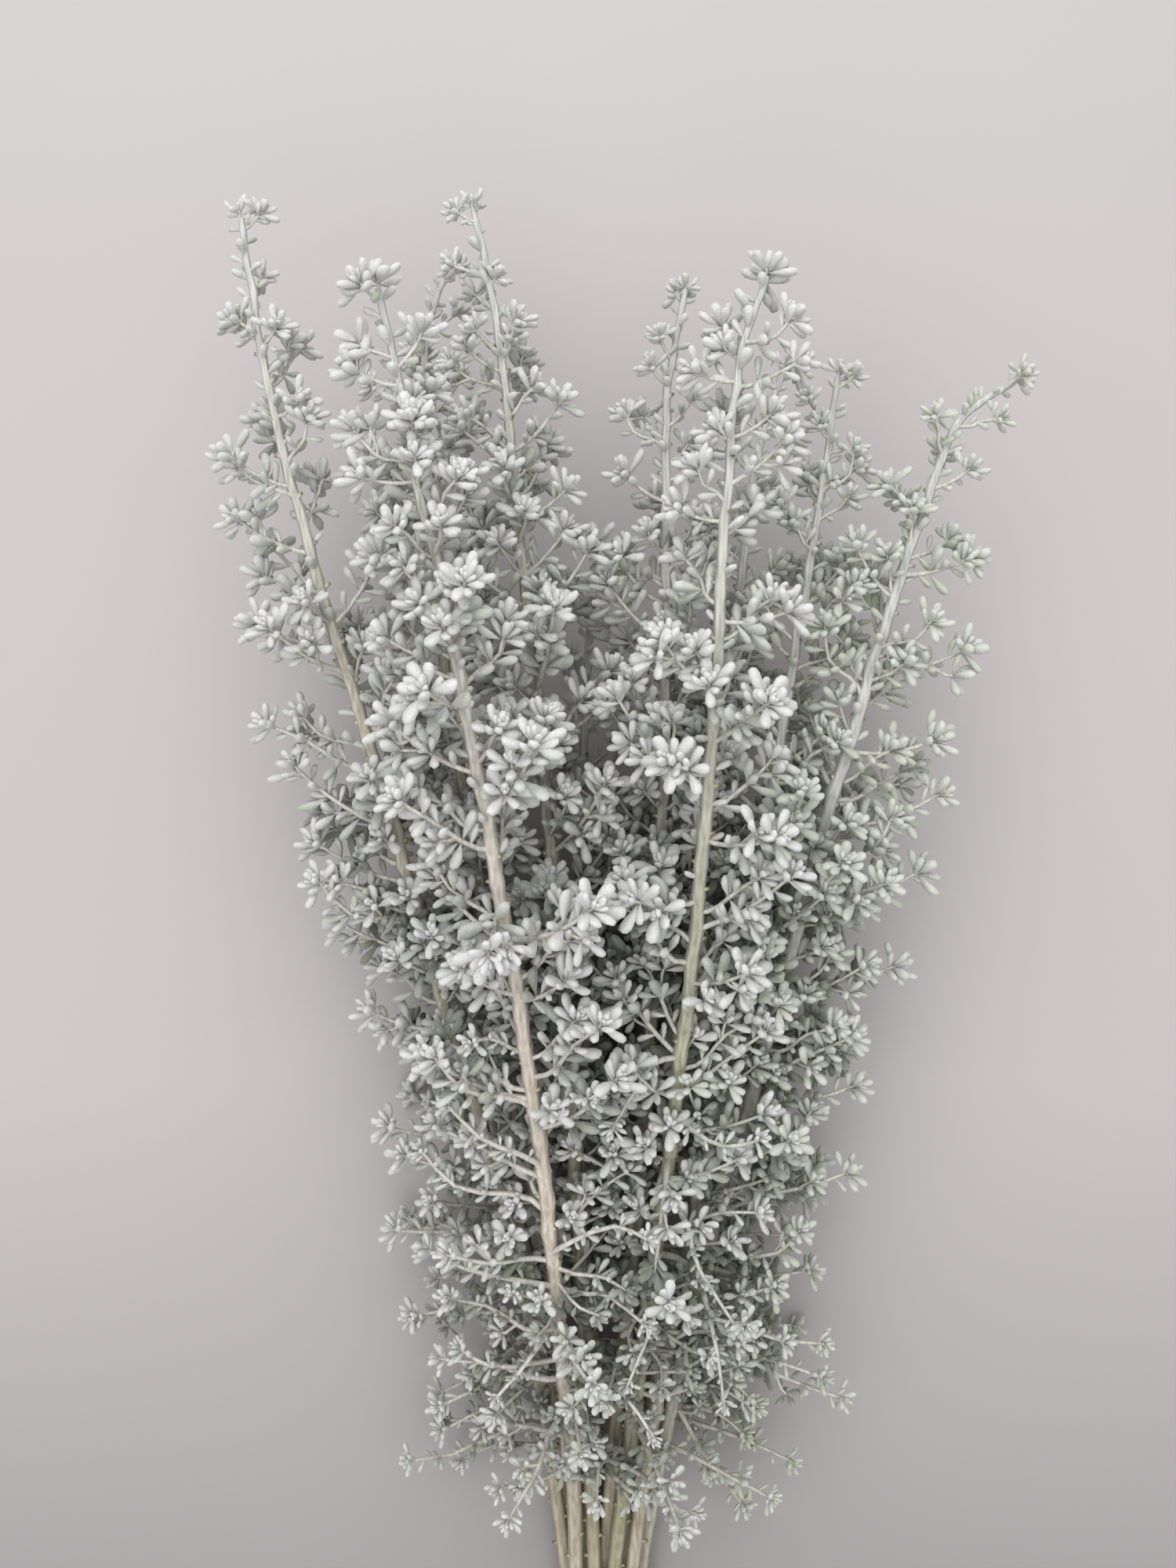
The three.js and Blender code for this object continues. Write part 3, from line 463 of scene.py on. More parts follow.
def led_spray(stem, item, line, entry, reach):
    """A spray that is led to a chosen outermost point, which its leaves reach."""
    height, *goal = entry[:4]
    goal = np.array(goal, float)
    start_bend = entry[4] if len(entry) > 4 else SPRAY_START_BEND
    from_tip = from_tip_at_height(line, height)
    root, along = stem_at(line, from_tip)
    chord = goal - root
    length = (span(root, goal) - ROSETTE_REACH) * reach
    chord = unit(chord)
    start = unit(chord + along * start_bend)
    if item >= FILL_ITEM:
        across = unit(np.cross(chord, along))
        aside, onward = (FREE_SWING * swing(stem, item, draw) for draw in (11, 12))
        start = unit(start + across * aside + along * onward)
    bend = root + start * (length * SPRAY_BEND_SHARE)
    return make_spray(stem, item, from_tip, root, bend, root + chord * length)


def grown_spray(stem, item, line, from_tip, turn, reach):
    """A spray that follows the stem's own rule of growth."""
    root, along = stem_at(line, from_tip)
    outward = square_to(along, turn)
    full = min(LONGEST_SPRAY, SHORTEST_SPRAY + SPRAY_GROWTH * from_tip)
    varied = 1 + jitter(SPRAY_LENGTH_JITTER, stem, item, 1)
    droop = 1 - smooth_step(DROOP_FULL, DROOP_FROM, root[1])
    length = full * (1 + LOW_SPRAY_GAIN * droop) * varied * reach
    headings = (leaning(along, outward, blend(SPREAD_AT_ROOT, DROOP_AT_ROOT, droop)),
                leaning(along, outward, blend(SPREAD_AT_TIP, DROOP_AT_TIP, droop)))
    return bent_spray(stem, item, from_tip, root, headings, length, SPRAY_BEND_SHARE)


def crown(stem, line):
    """The tip of a stem, which carries leaves as a spray does."""
    root, bend, end = (stem_at(line, far)[0] for far in (CROWN_LENGTH, CROWN_LENGTH / 2, 0))
    return make_spray(stem, CROWN_ITEM, 0, root, bend, end)


def spray_samples(spray):
    shares = np.arange(1, SPRAY_SAMPLES + 1) / SPRAY_SAMPLES
    points = np.array([spray_point(spray, share) for share in shares])
    return points, blend(spray.root_radius, TWIG_TIP_RADIUS, shares)


class Growth:
    """The wood grown so far, as points with a radius, which sprays of other stems keep clear of."""

    def __init__(self, lines):
        self.stems = np.concatenate([[i] * len(line.points) for i, line in enumerate(lines)])
        self.points = np.concatenate([line.points for line in lines])
        self.radii = np.concatenate([stem_radius(line, line.from_tip) for line in lines])

    def is_clear(self, spray):
        points, radii = spray_samples(spray)
        others = self.stems != spray.stem
        gaps = points[:, None] - self.points[others][None]
        reach = radii[:, None] + self.radii[others][None] + SPRAY_AIR
        return bool(np.all((gaps ** 2).sum(2) > reach ** 2))

    def add(self, spray):
        points, radii = spray_samples(spray)
        self.stems = np.concatenate([self.stems, [spray.stem] * len(points)])
        self.points = np.concatenate([self.points, points])
        self.radii = np.concatenate([self.radii, radii])


def first_clear(ways, growth):
    """The first way of growing a spray that keeps clear of every other stem's growth."""
    return next((spray for spray in ways if growth.is_clear(spray)), None)


def rule_nodes(line):
    """The nodes of a stem from its tip down to its bare foot, as distances from the tip."""
    bare_from = from_tip_at_height(line, BARE_BELOW)
    from_tip = FIRST_NODE
    while from_tip < bare_from:
        yield from_tip
        from_tip += NODE_SPACING + NODE_SPACING_GROWTH * from_tip


def rule_turn(stem, node):
    return stem + node * NODE_TURN + jitter(NODE_TURN_JITTER, stem, node, 0)


def frame_sprays(lines):
    """The sprays that the frame has, and the growth they leave."""
    growth = Growth(lines)
    sprays = []

    def take(ways):
        spray = first_clear(ways, growth)
        if spray is not None:
            growth.add(spray)
            sprays.append(spray)

    for stem, line in enumerate(lines):
        for n, entry in enumerate(STEMS[stem]["sprays"]):
            take(led_spray(stem, LED_ITEM + n, line, entry, reach) for reach in REACHES)
    led = list(sprays)
    sprays += [crown(stem, line) for stem, line in enumerate(lines)]
    for stem, line in enumerate(lines):
        for node, from_tip in enumerate(rule_nodes(line)):
            root = stem_at(line, from_tip)[0]
            is_led = any(s.stem == stem and span(s.root, root) < NEAR_NODE for s in led)
            if node % NODES_PER_DRAWN_SPRAY == 0 and not is_led:
                turn = rule_turn(stem, node)
                take(grown_spray(stem, node, line, from_tip, turn + more, reach)
                     for reach in REACHES for more in TURNS)
    return sprays


def extra_sprays(lines, sprays):
    """The sprays of all the nodes that the frame leaves bare, and short side sprays on them all."""
    growth = Growth(lines)
    extra = []

    def take(ways):
        spray = first_clear(ways, growth)
        if spray is not None:
            extra.append(spray)

    for stem, line in enumerate(lines):
        roots = [s.root for s in sprays if s.stem == stem]
        for item, kind in ((FILL_ITEM, "fills"), (WHIP_ITEM, "whips")):
            for n, entry in enumerate(STEMS[stem][kind]):
                take(led_spray(stem, item + n, line, entry, reach) for reach in REACHES)
        is_under = STEMS[stem]["row"] == 0
        for node, from_tip in enumerate(rule_nodes(line)):
            root = stem_at(line, from_tip)[0]
            turn = rule_turn(stem, node)
            is_hidden = any(low <= from_tip <= high for low, high in STEMS[stem]["hidden"])
            is_free = min(span(root, other) for other in roots) > NODE_SPACING / 3
            if is_free and (is_hidden or math.sin(turn) < OPEN_SIDE):
                take(grown_spray(stem, EXTRA_ITEM + node, line, from_tip, turn + more, reach)
                     for reach in REACHES for more in TURNS)
            between, turn = from_tip + NODE_SPACING / 2, turn + BETWEEN_TURN
            if BETWEEN_FROM < from_tip < BETWEEN_TO and (
                    is_hidden or math.sin(turn) < OPEN_SIDE):
                take(grown_spray(stem, BETWEEN_ITEM + node, line, between, turn + more,
                                 BETWEEN_REACH) for more in TURNS)
            is_covered = is_hidden or from_tip > OPEN_FROM and chance(stem, node, 9) < OPEN_COVER
            if is_covered and not is_under:
                take([cover_spray(stem, COVER_ITEM + node, line, between)])
    sides = []
    for spray in sprays + extra:
        for k, (least, share) in enumerate(SIDE_SPRAYS):
            if spray.length > least and spray.item < WHIP_ITEM:
                sides.append(side_spray(spray, SIDE_ITEM + 2 * spray.item + k, share))
    return extra, [s for s in sides if growth.is_clear(s)]


def cover_spray(stem, item, line, from_tip):
    """A short spray on the upper side of a stem that leaves hide."""
    root, along = stem_at(line, from_tip)
    outward = square_to(along, math.pi / 2 + COVER_SWING * swing(stem, item, 5))
    headings = [leaning(along, outward, angle) for angle in (SPREAD_AT_ROOT, SPREAD_AT_TIP)]
    length = COVER_LENGTH * drawn_from(COVER_SHARES, stem, item, 6)
    return bent_spray(stem, item, from_tip, root, headings, length)


def side_spray(spray, item, share):
    """A short spray that leaves another one at a share of its length."""
    root, along = spray_point(spray, share), spray_heading(spray, share)
    outward = leaning(*across_axes(spray, share), 2 * math.pi * chance(spray.stem, item, 3))
    heading = leaning(along, outward, SIDE_SPRAY_SPREAD)
    headings = heading, unit(heading + along)
    length = SIDE_SPRAY_LENGTH * drawn_from(SIDE_SPRAY_SHARES, spray.stem, item, 4)
    return bent_spray(spray.stem, item, spray.from_tip, root, headings, length)


def across_axes(spray, share):
    """Two directions across a spray: one square to its bend, the other in its plane."""
    side = np.cross(spray.bend - spray.root, spray.end - spray.bend)
    if math.sqrt(side @ side) < TOO_SHORT:
        side = np.cross((0, 0, 1), spray.end - spray.root)
    side = unit(side)
    return side, np.cross(spray_heading(spray, share), side)


class Outside:
    """Line pieces with a radius, which the leaves of other stems keep clear of."""

    def __init__(self, room):
        self.stem = np.full(room, -1)
        self.start = np.zeros((room, 3))
        self.stop = np.zeros((room, 3))
        self.radius = np.zeros(room)
        self.count = 0

    def add(self, stem, start, stop, radius):
        n = self.count
        self.stem[n], self.start[n], self.stop[n], self.radius[n] = stem, start, stop, radius
        self.count += 1

    def add_stems(self, lines):
        for stem, line in enumerate(lines):
            for i in range(0, STEM_SAMPLES, STEM_POINTS_PER_PIECE):
                radius = stem_radius(line, line.from_tip[i])
                self.add(stem, line.points[i], line.points[i + STEM_POINTS_PER_PIECE], radius)

    def add_spray(self, spray):
        for i in range(TWIG_PIECES):
            start, stop = (spray_point(spray, n / TWIG_PIECES) for n in (i, i + 1))
            self.add(spray.stem, start, stop, spray.root_radius * TWIG_FACET_GAIN)

    def is_clear(self, stem, start, stop, radius, air):
        """True if a line piece stays clear of every piece, apart from those of its own stem."""
        n = self.count
        near = self.stem[:n] != stem
        reach = self.radius[:n] + radius + air
        gap = self.start[:n] - start
        length = self.stop[:n] - self.start[:n]
        most = reach + span(start, stop) + np.sqrt((length ** 2).sum(1))
        near &= (gap ** 2).sum(1) <= most ** 2
        if not near.any():
            return True
        found = distances(start, stop, self.start[:n][near], self.stop[:n][near])
        return bool(np.all(found > reach[near]))


def distances(p1, q1, p2, q2):
    """The least distances from one line piece to each of several."""
    d1, d2, r = q1 - p1, q2 - p2, p1 - p2
    a, e, f = d1 @ d1, (d2 * d2).sum(1), (d2 * r).sum(1)
    c, b = r @ d1, d2 @ d1
    denom = a * e - b * b
    s = np.where(denom > 1e-9, np.clip((b * f - c * e) / np.maximum(denom, 1e-9), 0, 1), 0)
    t = (b * s + f) / e
    s = np.where(t < 0, np.clip(-c / a, 0, 1), np.where(t > 1, np.clip((b - c) / a, 0, 1), s))
    t = np.clip(t, 0, 1)
    gap = p1 + d1 * s[:, None] - p2 - d2 * t[:, None]
    return np.sqrt((gap ** 2).sum(1))


def levelled(root, heading, length):
    """Turns a heading up just enough for a leaf's end to rest on the surface."""
    lowest = (LEAF_FLOOR - root[2]) / length
    if heading[2] >= lowest:
        return heading
    level = math.sqrt(1 - lowest * lowest) / math.hypot(heading[0], heading[1])
    return np.array((heading[0] * level, heading[1] * level, lowest))


class LeafDrawer:
    """Collects the leaves of one spray, from its foot to its rosette."""

    def __init__(self, spray, is_framed, outside, foliage):
        self.spray, self.outside, self.foliage = spray, outside, foliage
        self.is_framed = is_framed
        self.base = 2 * math.pi * chance(spray.stem, spray.item, 2)
        self.vigour = blend(STEM_TIP_VIGOUR, 1, min(1, spray.from_tip / VIGOUR_FROM))
        self.up = smooth_step(LOW_FROM, LOW_TO, spray.end[1])
        self.full = blend(LOW_LEAF, 1, self.up)
        self.full *= blend(STEMS[spray.stem]["tip_leaf"], 1,
                           min(1, spray.from_tip / TIP_LEAF_TO))
        if WHIP_ITEM <= spray.item < STEM_LEAF_ITEM:
            self.full *= WHIP_LEAF
        self.top = smooth_step(*TOP_ROW, spray.end[2])
        self.full *= 1 + TOP_LEAF * self.top

    def aim(self, share, turn, spread):
        outward = leaning(*across_axes(self.spray, share), turn)
        return leaning(spray_heading(self.spray, share), outward, spread)

    def ring(self, place, radius, turns):
        share = place / self.spray.length
        middle = spray_point(self.spray, share)
        steps = [self.base + (turns + 2 * k) * math.pi / 3 for k in range(3)]
        return [middle + self.aim(share, step, math.pi / 2) * radius for step in steps]

    def draw(self, root, place, turn, spread, share, draw, youth, air):
        """One leaf, left out where it would touch another stem's growth or be turned far aside."""
        spray = self.spray
        share = share if self.is_framed else share * ADDED_LEAF
        varied = 1 + jitter(LEAF_LENGTH_JITTER, spray.stem, spray.item, draw)
        sway = jitter(SPREAD_JITTER, spray.stem, spray.item, draw + SPREAD_DRAW)
        heading = self.aim(place / spray.length, self.base + turn, spread + sway)
        length = LONG_LEAF * self.vigour * share * varied
        rested = levelled(root, heading, length)
        if math.acos(min(1, rested @ heading)) > MOST_LEVELLING:
            return
        radius = length * LEAF_RADIUS_SHARE
        tip = root + rested * length
        if not self.outside.is_clear(spray.stem, root, tip, radius, air):
            return
        if self.is_framed:
            self.outside.add(spray.stem, root, tip, radius)
        along = spray_heading(spray, place / spray.length)
        upper = along - rested * (along @ rested)
        if math.sqrt(upper @ upper) < LEAST_UPPER:
            upper = across_axes(spray, place / spray.length)[0]
        drawn = length * self.full + LEAF_SINK
        foot = root - rested * LEAF_SINK
        lowest = min(foot[2], foot[2] + rested[2] * drawn) - drawn * LEAF_HALF
        foot = foot - (0, 0, min(0, lowest))
        # Painted light and shade: leaves on top of the bunch are drawn whiter, and leaves further
        # along towards the tips a little darker.
        light = AIRY_PAINTED_SHADE * smooth_step(*AIRY, root[1]) + TOP_PAINTED_LIGHT * self.top
        youth = youth * blend(LOW_YOUTH, 1, self.up) + light
        self.foliage.add(spray.stem, Leaf(foot, rested, unit(upper), drawn, youth))

    def node_ends(self):
        """Where the spray's leafy nodes end, from its bare foot up to its tip."""
        bare = 0 if self.spray.item == CROWN_ITEM else BARE_SHARE * self.spray.length
        ends = []
        end = self.spray.length
        while end > bare + NODE_LENGTH:
            ends.append(end)
            end -= NODE_GAP
        return ends[::-1]

    def framed_leaves(self):
        """The leaves that the frame has: a rosette on the end node and threes below it."""
        ends = self.node_ends()
        turns = 0
        for node, place in enumerate(ends):
            is_tip = node == len(ends) - 1
            radius = NODE_RADIUS if is_tip else INLINE_NODE_RADIUS
            low = self.ring(place - NODE_LENGTH, radius, turns + 1)
            high = self.ring(place, radius, turns + 2)
            turns += 2
            draw = DRAWS_PER_NODE * (node + 1)
            middle = place - NODE_LENGTH / 2
            for k in range(3):
                after = (k + 1) % 3
                lower = (low[k] + low[after] + high[k]) / 3
                upper = (low[after] + high[after] + high[k]) / 3
                turn = (turns + 2 * k) * math.pi / 3
                up = turn + math.pi / 3
                if is_tip:
                    self.draw(lower, middle, turn, LOWER_SPREAD, OUTER_LEAF, draw + k,
                              OUTER_YOUTH, LEAF_AIR)
                    self.draw(upper, middle, up, UPPER_SPREAD, INNER_LEAF, draw + 3 + k,
                              INNER_YOUTH, LEAF_AIR)
                else:
                    root, around = (lower, turn) if k != node % 3 else (upper, up)
                    self.draw(root, middle, around, INLINE_SPREAD, INLINE_LEAF, draw + k,
                              INLINE_YOUTH, LEAF_AIR)
            if is_tip:
                self.draw(sum(high) / 3, place, 0, CENTRE_SPREAD, CENTRE_LEAF, draw + 6,
                          CENTRE_YOUTH, LEAF_AIR)

    def twig_leaves(self):
        """Single leaves up the twig, each a turn round from the last."""
        spray = self.spray
        place = max(BARE_SHARE * spray.length, TWIG_LEAVES_FROM)
        step = 0
        while place < spray.length - TWIG_LEAVES_END:
            draw = TWIG_LEAF_DRAW + 3 * step
            self.twig_leaf(place, step * NODE_TURN, TWIG_LEAF_SPREAD, TWIG_LEAF, draw,
                           TWIG_LEAF_YOUTH)
            place += TWIG_LEAF_GAP * drawn_from(TWIG_LEAF_SHARES, spray.stem, spray.item, draw + 1)
            step += 1

    def rosette_leaves(self, tiers):
        """The inner tiers of the rosette, each shorter, steeper and whiter than the last."""
        for tier, (below, turn, spread, share, youth) in enumerate(tiers):
            for k in range(3):
                around = turn + 2 * k * math.pi / 3
                place = self.spray.length - below
                self.twig_leaf(place, around, spread, share, TIER_DRAW + 3 * tier + k, youth)

    def twig_leaf(self, place, turn, spread, share, draw, youth):
        """A leaf that leaves the middle of the twig, or a little beyond its end."""
        at = min(place, self.spray.length)
        share_up = at / self.spray.length
        root = spray_point(self.spray, share_up)
        root = root + spray_heading(self.spray, share_up) * (place - at)
        self.draw(root, at, turn, spread, share, draw, youth, 0)


def stem_leaves(stem, line, outside, foliage):
    """Leaves on the stem itself: close together round its tip, and sparser further down."""
    from_tip = CROWN_LENGTH
    step = 0
    while from_tip < STEM_LEAVES_TO:
        root, along = stem_at(line, from_tip)
        radius = float(stem_radius(line, from_tip))
        bend, end = root + along * (STEM_LEAF_FOOT / 2), root + along * STEM_LEAF_FOOT
        foot = Spray(stem, STEM_LEAF_ITEM + step, from_tip, root, bend, end, STEM_LEAF_FOOT, radius)
        spread = drawn_from(STEM_LEAF_SPREADS, stem, step, 33)
        share = blend(LOW_STEM_LEAF, TOP_STEM_LEAF, smooth_step(*STEM_LEAF_CHANGE, from_tip))
        drawer = LeafDrawer(foot, False, outside, foliage)
        drawer.twig_leaf(0, 0, spread, share, 1, STEM_LEAF_YOUTH)
        from_tip += STEM_LEAF_GAP + STEM_LEAF_GAP_GROWTH * from_tip
        step += 1


def painted_shade_shares(leaves):
    """Painted shade of each leaf by its depth among others: 0 in the open, 1 where many leaves lie
    over it.
    """
    tree = KDTree(sum(len(own) for own in leaves))
    for n, leaf in enumerate(leaf for own in leaves for leaf in own):
        tree.insert(leaf.root, n)
    tree.balance()
    shares = []
    for own in leaves:
        covers = [sum(place[2] > leaf.root[2] + COVER_GAP
                      for place, _, _ in tree.find_range(leaf.root, COVER_REACH)) for leaf in own]
        airy = [smooth_step(*AIRY, leaf.root[1]) * AIRY_SHARE for leaf in own]
        shares.append([smooth_step(*COVERED, count) * (1 - thin)
                       for count, thin in zip(covers, airy)])
    return shares


def by_height(spray):
    """Puts the stems that lie on top first, as they get the light."""
    return -STEMS[spray.stem]["row"]


class Foliage:
    """The leaves of each stem."""

    def __init__(self):
        self.leaves = [[] for _ in STEMS]
        self.roots = np.zeros((MOST_LEAVES, 3))
        self.count = 0

    def add(self, stem, leaf):
        self.leaves[stem].append(leaf)
        self.roots[self.count] = leaf.root
        self.count += 1

    def is_crowded(self, place):
        """True where a spray would end among so many leaves that it would be shed."""
        gaps = self.roots[:self.count] - place
        return np.count_nonzero((gaps * gaps).sum(1) < CROWD_REACH ** 2) > CROWD_MOST


@lru_cache(maxsize=None)
def grown_bunch():
    """Every stem line, and each stem's sprays and leaves, in millimetres."""
    lines = [stem_line(stem, index) for index, stem in enumerate(STEMS)]
    sprays = frame_sprays(lines)
    outside = Outside(FRAME_PIECES)
    outside.add_stems(lines)
    for spray in sprays:
        outside.add_spray(spray)
    foliage = Foliage()
    for stem in range(len(lines)):
        for spray in sprays:
            if spray.stem == stem:
                LeafDrawer(spray, True, outside, foliage).framed_leaves()
    extra, sides = extra_sprays(lines, sprays)
    wood = Outside(WOOD_PIECES)
    wood.add_stems(lines)
    for spray in sprays:
        drawer = LeafDrawer(spray, False, wood, foliage)
        drawer.twig_leaves()
        drawer.rosette_leaves(ROSETTE_TIERS[2 if spray.item == CROWN_ITEM else 0:])
    for stem, line in enumerate(lines):
        stem_leaves(stem, line, wood, foliage)
    kept = []
    for group, tiers in ((extra, ROSETTE_TIERS), (sides, ROSETTE_TIERS[2:])):
        for spray in sorted(group, key=by_height):
            is_chosen = FILL_ITEM <= spray.item < STEM_LEAF_ITEM
            if not is_chosen and foliage.is_crowded(spray.end):
                continue
            kept.append(spray)
            drawer = LeafDrawer(spray, False, wood, foliage)
            drawer.framed_leaves()
            if group is extra:
                drawer.twig_leaves()
            drawer.rosette_leaves(tiers)
    return lines, sprays + kept, foliage.leaves


def linear(code):
    """A colour written as an sRGB hex value, as linear red, green and blue."""
    values = [int(code[i:i + 2], 16) / 255 for i in (1, 3, 5)]
    return [v / 12.92 if v <= 0.04045 else ((v + 0.055) / 1.055) ** 2.4 for v in values]


def add_node(tree, kind, inputs=None, **settings):
    """Adds a node with its settings, and links or sets its inputs by name or number."""
    node = tree.nodes.new(kind)
    for name, value in settings.items():
        setattr(node, name, value)
    for key, value in (inputs or {}).items():
        if isinstance(value, bpy.types.NodeSocket):
            tree.links.new(value, node.inputs[key])
        else:
            node.inputs[key].default_value = value
    return node


def outcome(tree, kind, inputs=None, **settings):
    """The first output of a node that it adds."""
    return add_node(tree, kind, inputs, **settings).outputs[0]


def maths(tree, operation, *values):
    return outcome(tree, "ShaderNodeMath", dict(enumerate(values)), operation=operation)


def ranged(tree, value, low, high, start=0.0, stop=1.0, **settings):
    """A value carried over from one range to another."""
    limits = {"From Min": low, "From Max": high, "To Min": start, "To Max": stop}
    return outcome(tree, "ShaderNodeMapRange", {"Value": value, **limits}, **settings)


def named(tree, name, kind="FLOAT"):
    """A value that a geometry tree reads from the points."""
    return outcome(tree, "GeometryNodeInputNamedAttribute", {"Name": name}, data_type=kind)


def new_tree(name, sockets):
    """A Geometry Nodes tree with named inputs, each given as its kind and its default."""
    tree = bpy.data.node_groups.new(name, "GeometryNodeTree")
    tree.interface.new_socket(name="Geometry", in_out="OUTPUT", socket_type="NodeSocketGeometry")
    for label, (kind, default) in sockets.items():
        socket = tree.interface.new_socket(name=label, in_out="INPUT",
                                           socket_type="NodeSocket" + kind)
        if default is not None:
            socket.default_value = default
    return tree, add_node(tree, "NodeGroupInput").outputs


def placed(name, data):
    """A new object in the scene."""
    piece = bpy.data.objects.new(name, data)
    bpy.context.scene.collection.objects.link(piece)
    return piece


def grow(source, tree, values, name):
    """Runs a tree on an object, keeps the outcome as a plain mesh and removes the source."""
    modifier = source.modifiers.new("growth", "NODES")
    modifier.node_group = tree
    for item in tree.interface.items_tree:
        if item.item_type == "SOCKET" and item.in_out == "INPUT" and item.name in values:
            modifier[item.identifier] = values[item.name]
    depsgraph = bpy.context.evaluated_depsgraph_get()
    mesh = bpy.data.meshes.new_from_object(source.evaluated_get(depsgraph))
    mesh.name = name
    old = source.data
    bpy.data.objects.remove(source)
    bpy.data.meshes.remove(old)
    return placed(name, mesh)


def design_origin():
    """Where the middle of the band stands in the frame, on the surface."""
    low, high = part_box("elastic_band")
    return np.array(((low.x + high.x) / 2, (low.y + high.y) / 2, 0))


def in_frame(points):
    return np.asarray(points) * MM + design_origin()


def loose_mesh(name, points, edges, attributes):
    """A mesh object of points and edges that carries named values for a tree to read."""
    mesh = bpy.data.meshes.new(name)
    mesh.from_pydata(np.asarray(points).tolist(), edges, [])
    for label, values in attributes.items():
        values = np.asarray(values, np.float32)
        kind, key = ("FLOAT", "value") if values.ndim == 1 else ("FLOAT_VECTOR", "vector")
        mesh.attributes.new(label, kind, "POINT").data.foreach_set(key, values.ravel())
    return placed(name, mesh)


# Leaves

def club_leaf_tree():
    """One leaf drawn out of a ball: a narrow foot, a wide blunt end, and a flatter upper side."""
    tree, given = new_tree("club leaf", {
        "Sides": ("Int", 5), "Rings": ("Int", 5), "Width": ("Float", 0.43),
        "Thickness": ("Float", 0.36), "Foot": ("Float", 0.42), "Flatness": ("Float", 0.3),
        "Curl": ("Float", 0.0), "Sway": ("Float", 0.0), "Tip Draw": ("Float", 0.6),
        "Bluntness": ("Float", -0.25)})
    count = partial(maths, tree)
    ball = outcome(tree, "GeometryNodeMeshUVSphere",
                   {"Segments": given["Sides"], "Rings": given["Rings"], "Radius": 1.0})
    smooth = outcome(tree, "GeometryNodeSetShadeSmooth", {"Geometry": ball})
    position = outcome(tree, "GeometryNodeInputPosition")
    x, y, z = add_node(tree, "ShaderNodeSeparateXYZ", {"Vector": position}).outputs
    along = count("POWER", count("MULTIPLY", count("ADD", z, 1.0), 0.5), given["Tip Draw"])
    girth = count("SQRT", count("SUBTRACT", NEVER_ZERO, count("MULTIPLY", z, z)))
    blunt = count("POWER", girth, given["Bluntness"])
    swell = ranged(tree, along, *LEAF_SWELL, given["Foot"], interpolation_type="SMOOTHSTEP")
    fullness = count("MULTIPLY", count("MULTIPLY", blunt, swell), 0.5)
    across = count("MULTIPLY", count("MULTIPLY", x, fullness), given["Width"])
    flattened = count("MULTIPLY", count("MAXIMUM", y, 0.0), given["Flatness"])
    through = count("MULTIPLY", count("MULTIPLY", count("SUBTRACT", y, flattened), fullness),
                    given["Thickness"])
    bend = count("MULTIPLY", along, along)
    place = outcome(tree, "ShaderNodeCombineXYZ", {
        "X": count("ADD", across, count("MULTIPLY", bend, given["Sway"])),
        "Y": count("ADD", through, count("MULTIPLY", bend, given["Curl"])), "Z": along})
    shaped = outcome(tree, "GeometryNodeSetPosition", {"Geometry": smooth, "Position": place})
    marked = outcome(tree, "GeometryNodeStoreNamedAttribute",
                     {"Geometry": shaped, "Name": "along", "Value": along})
    add_node(tree, "NodeGroupOutput", {0: marked})
    return tree


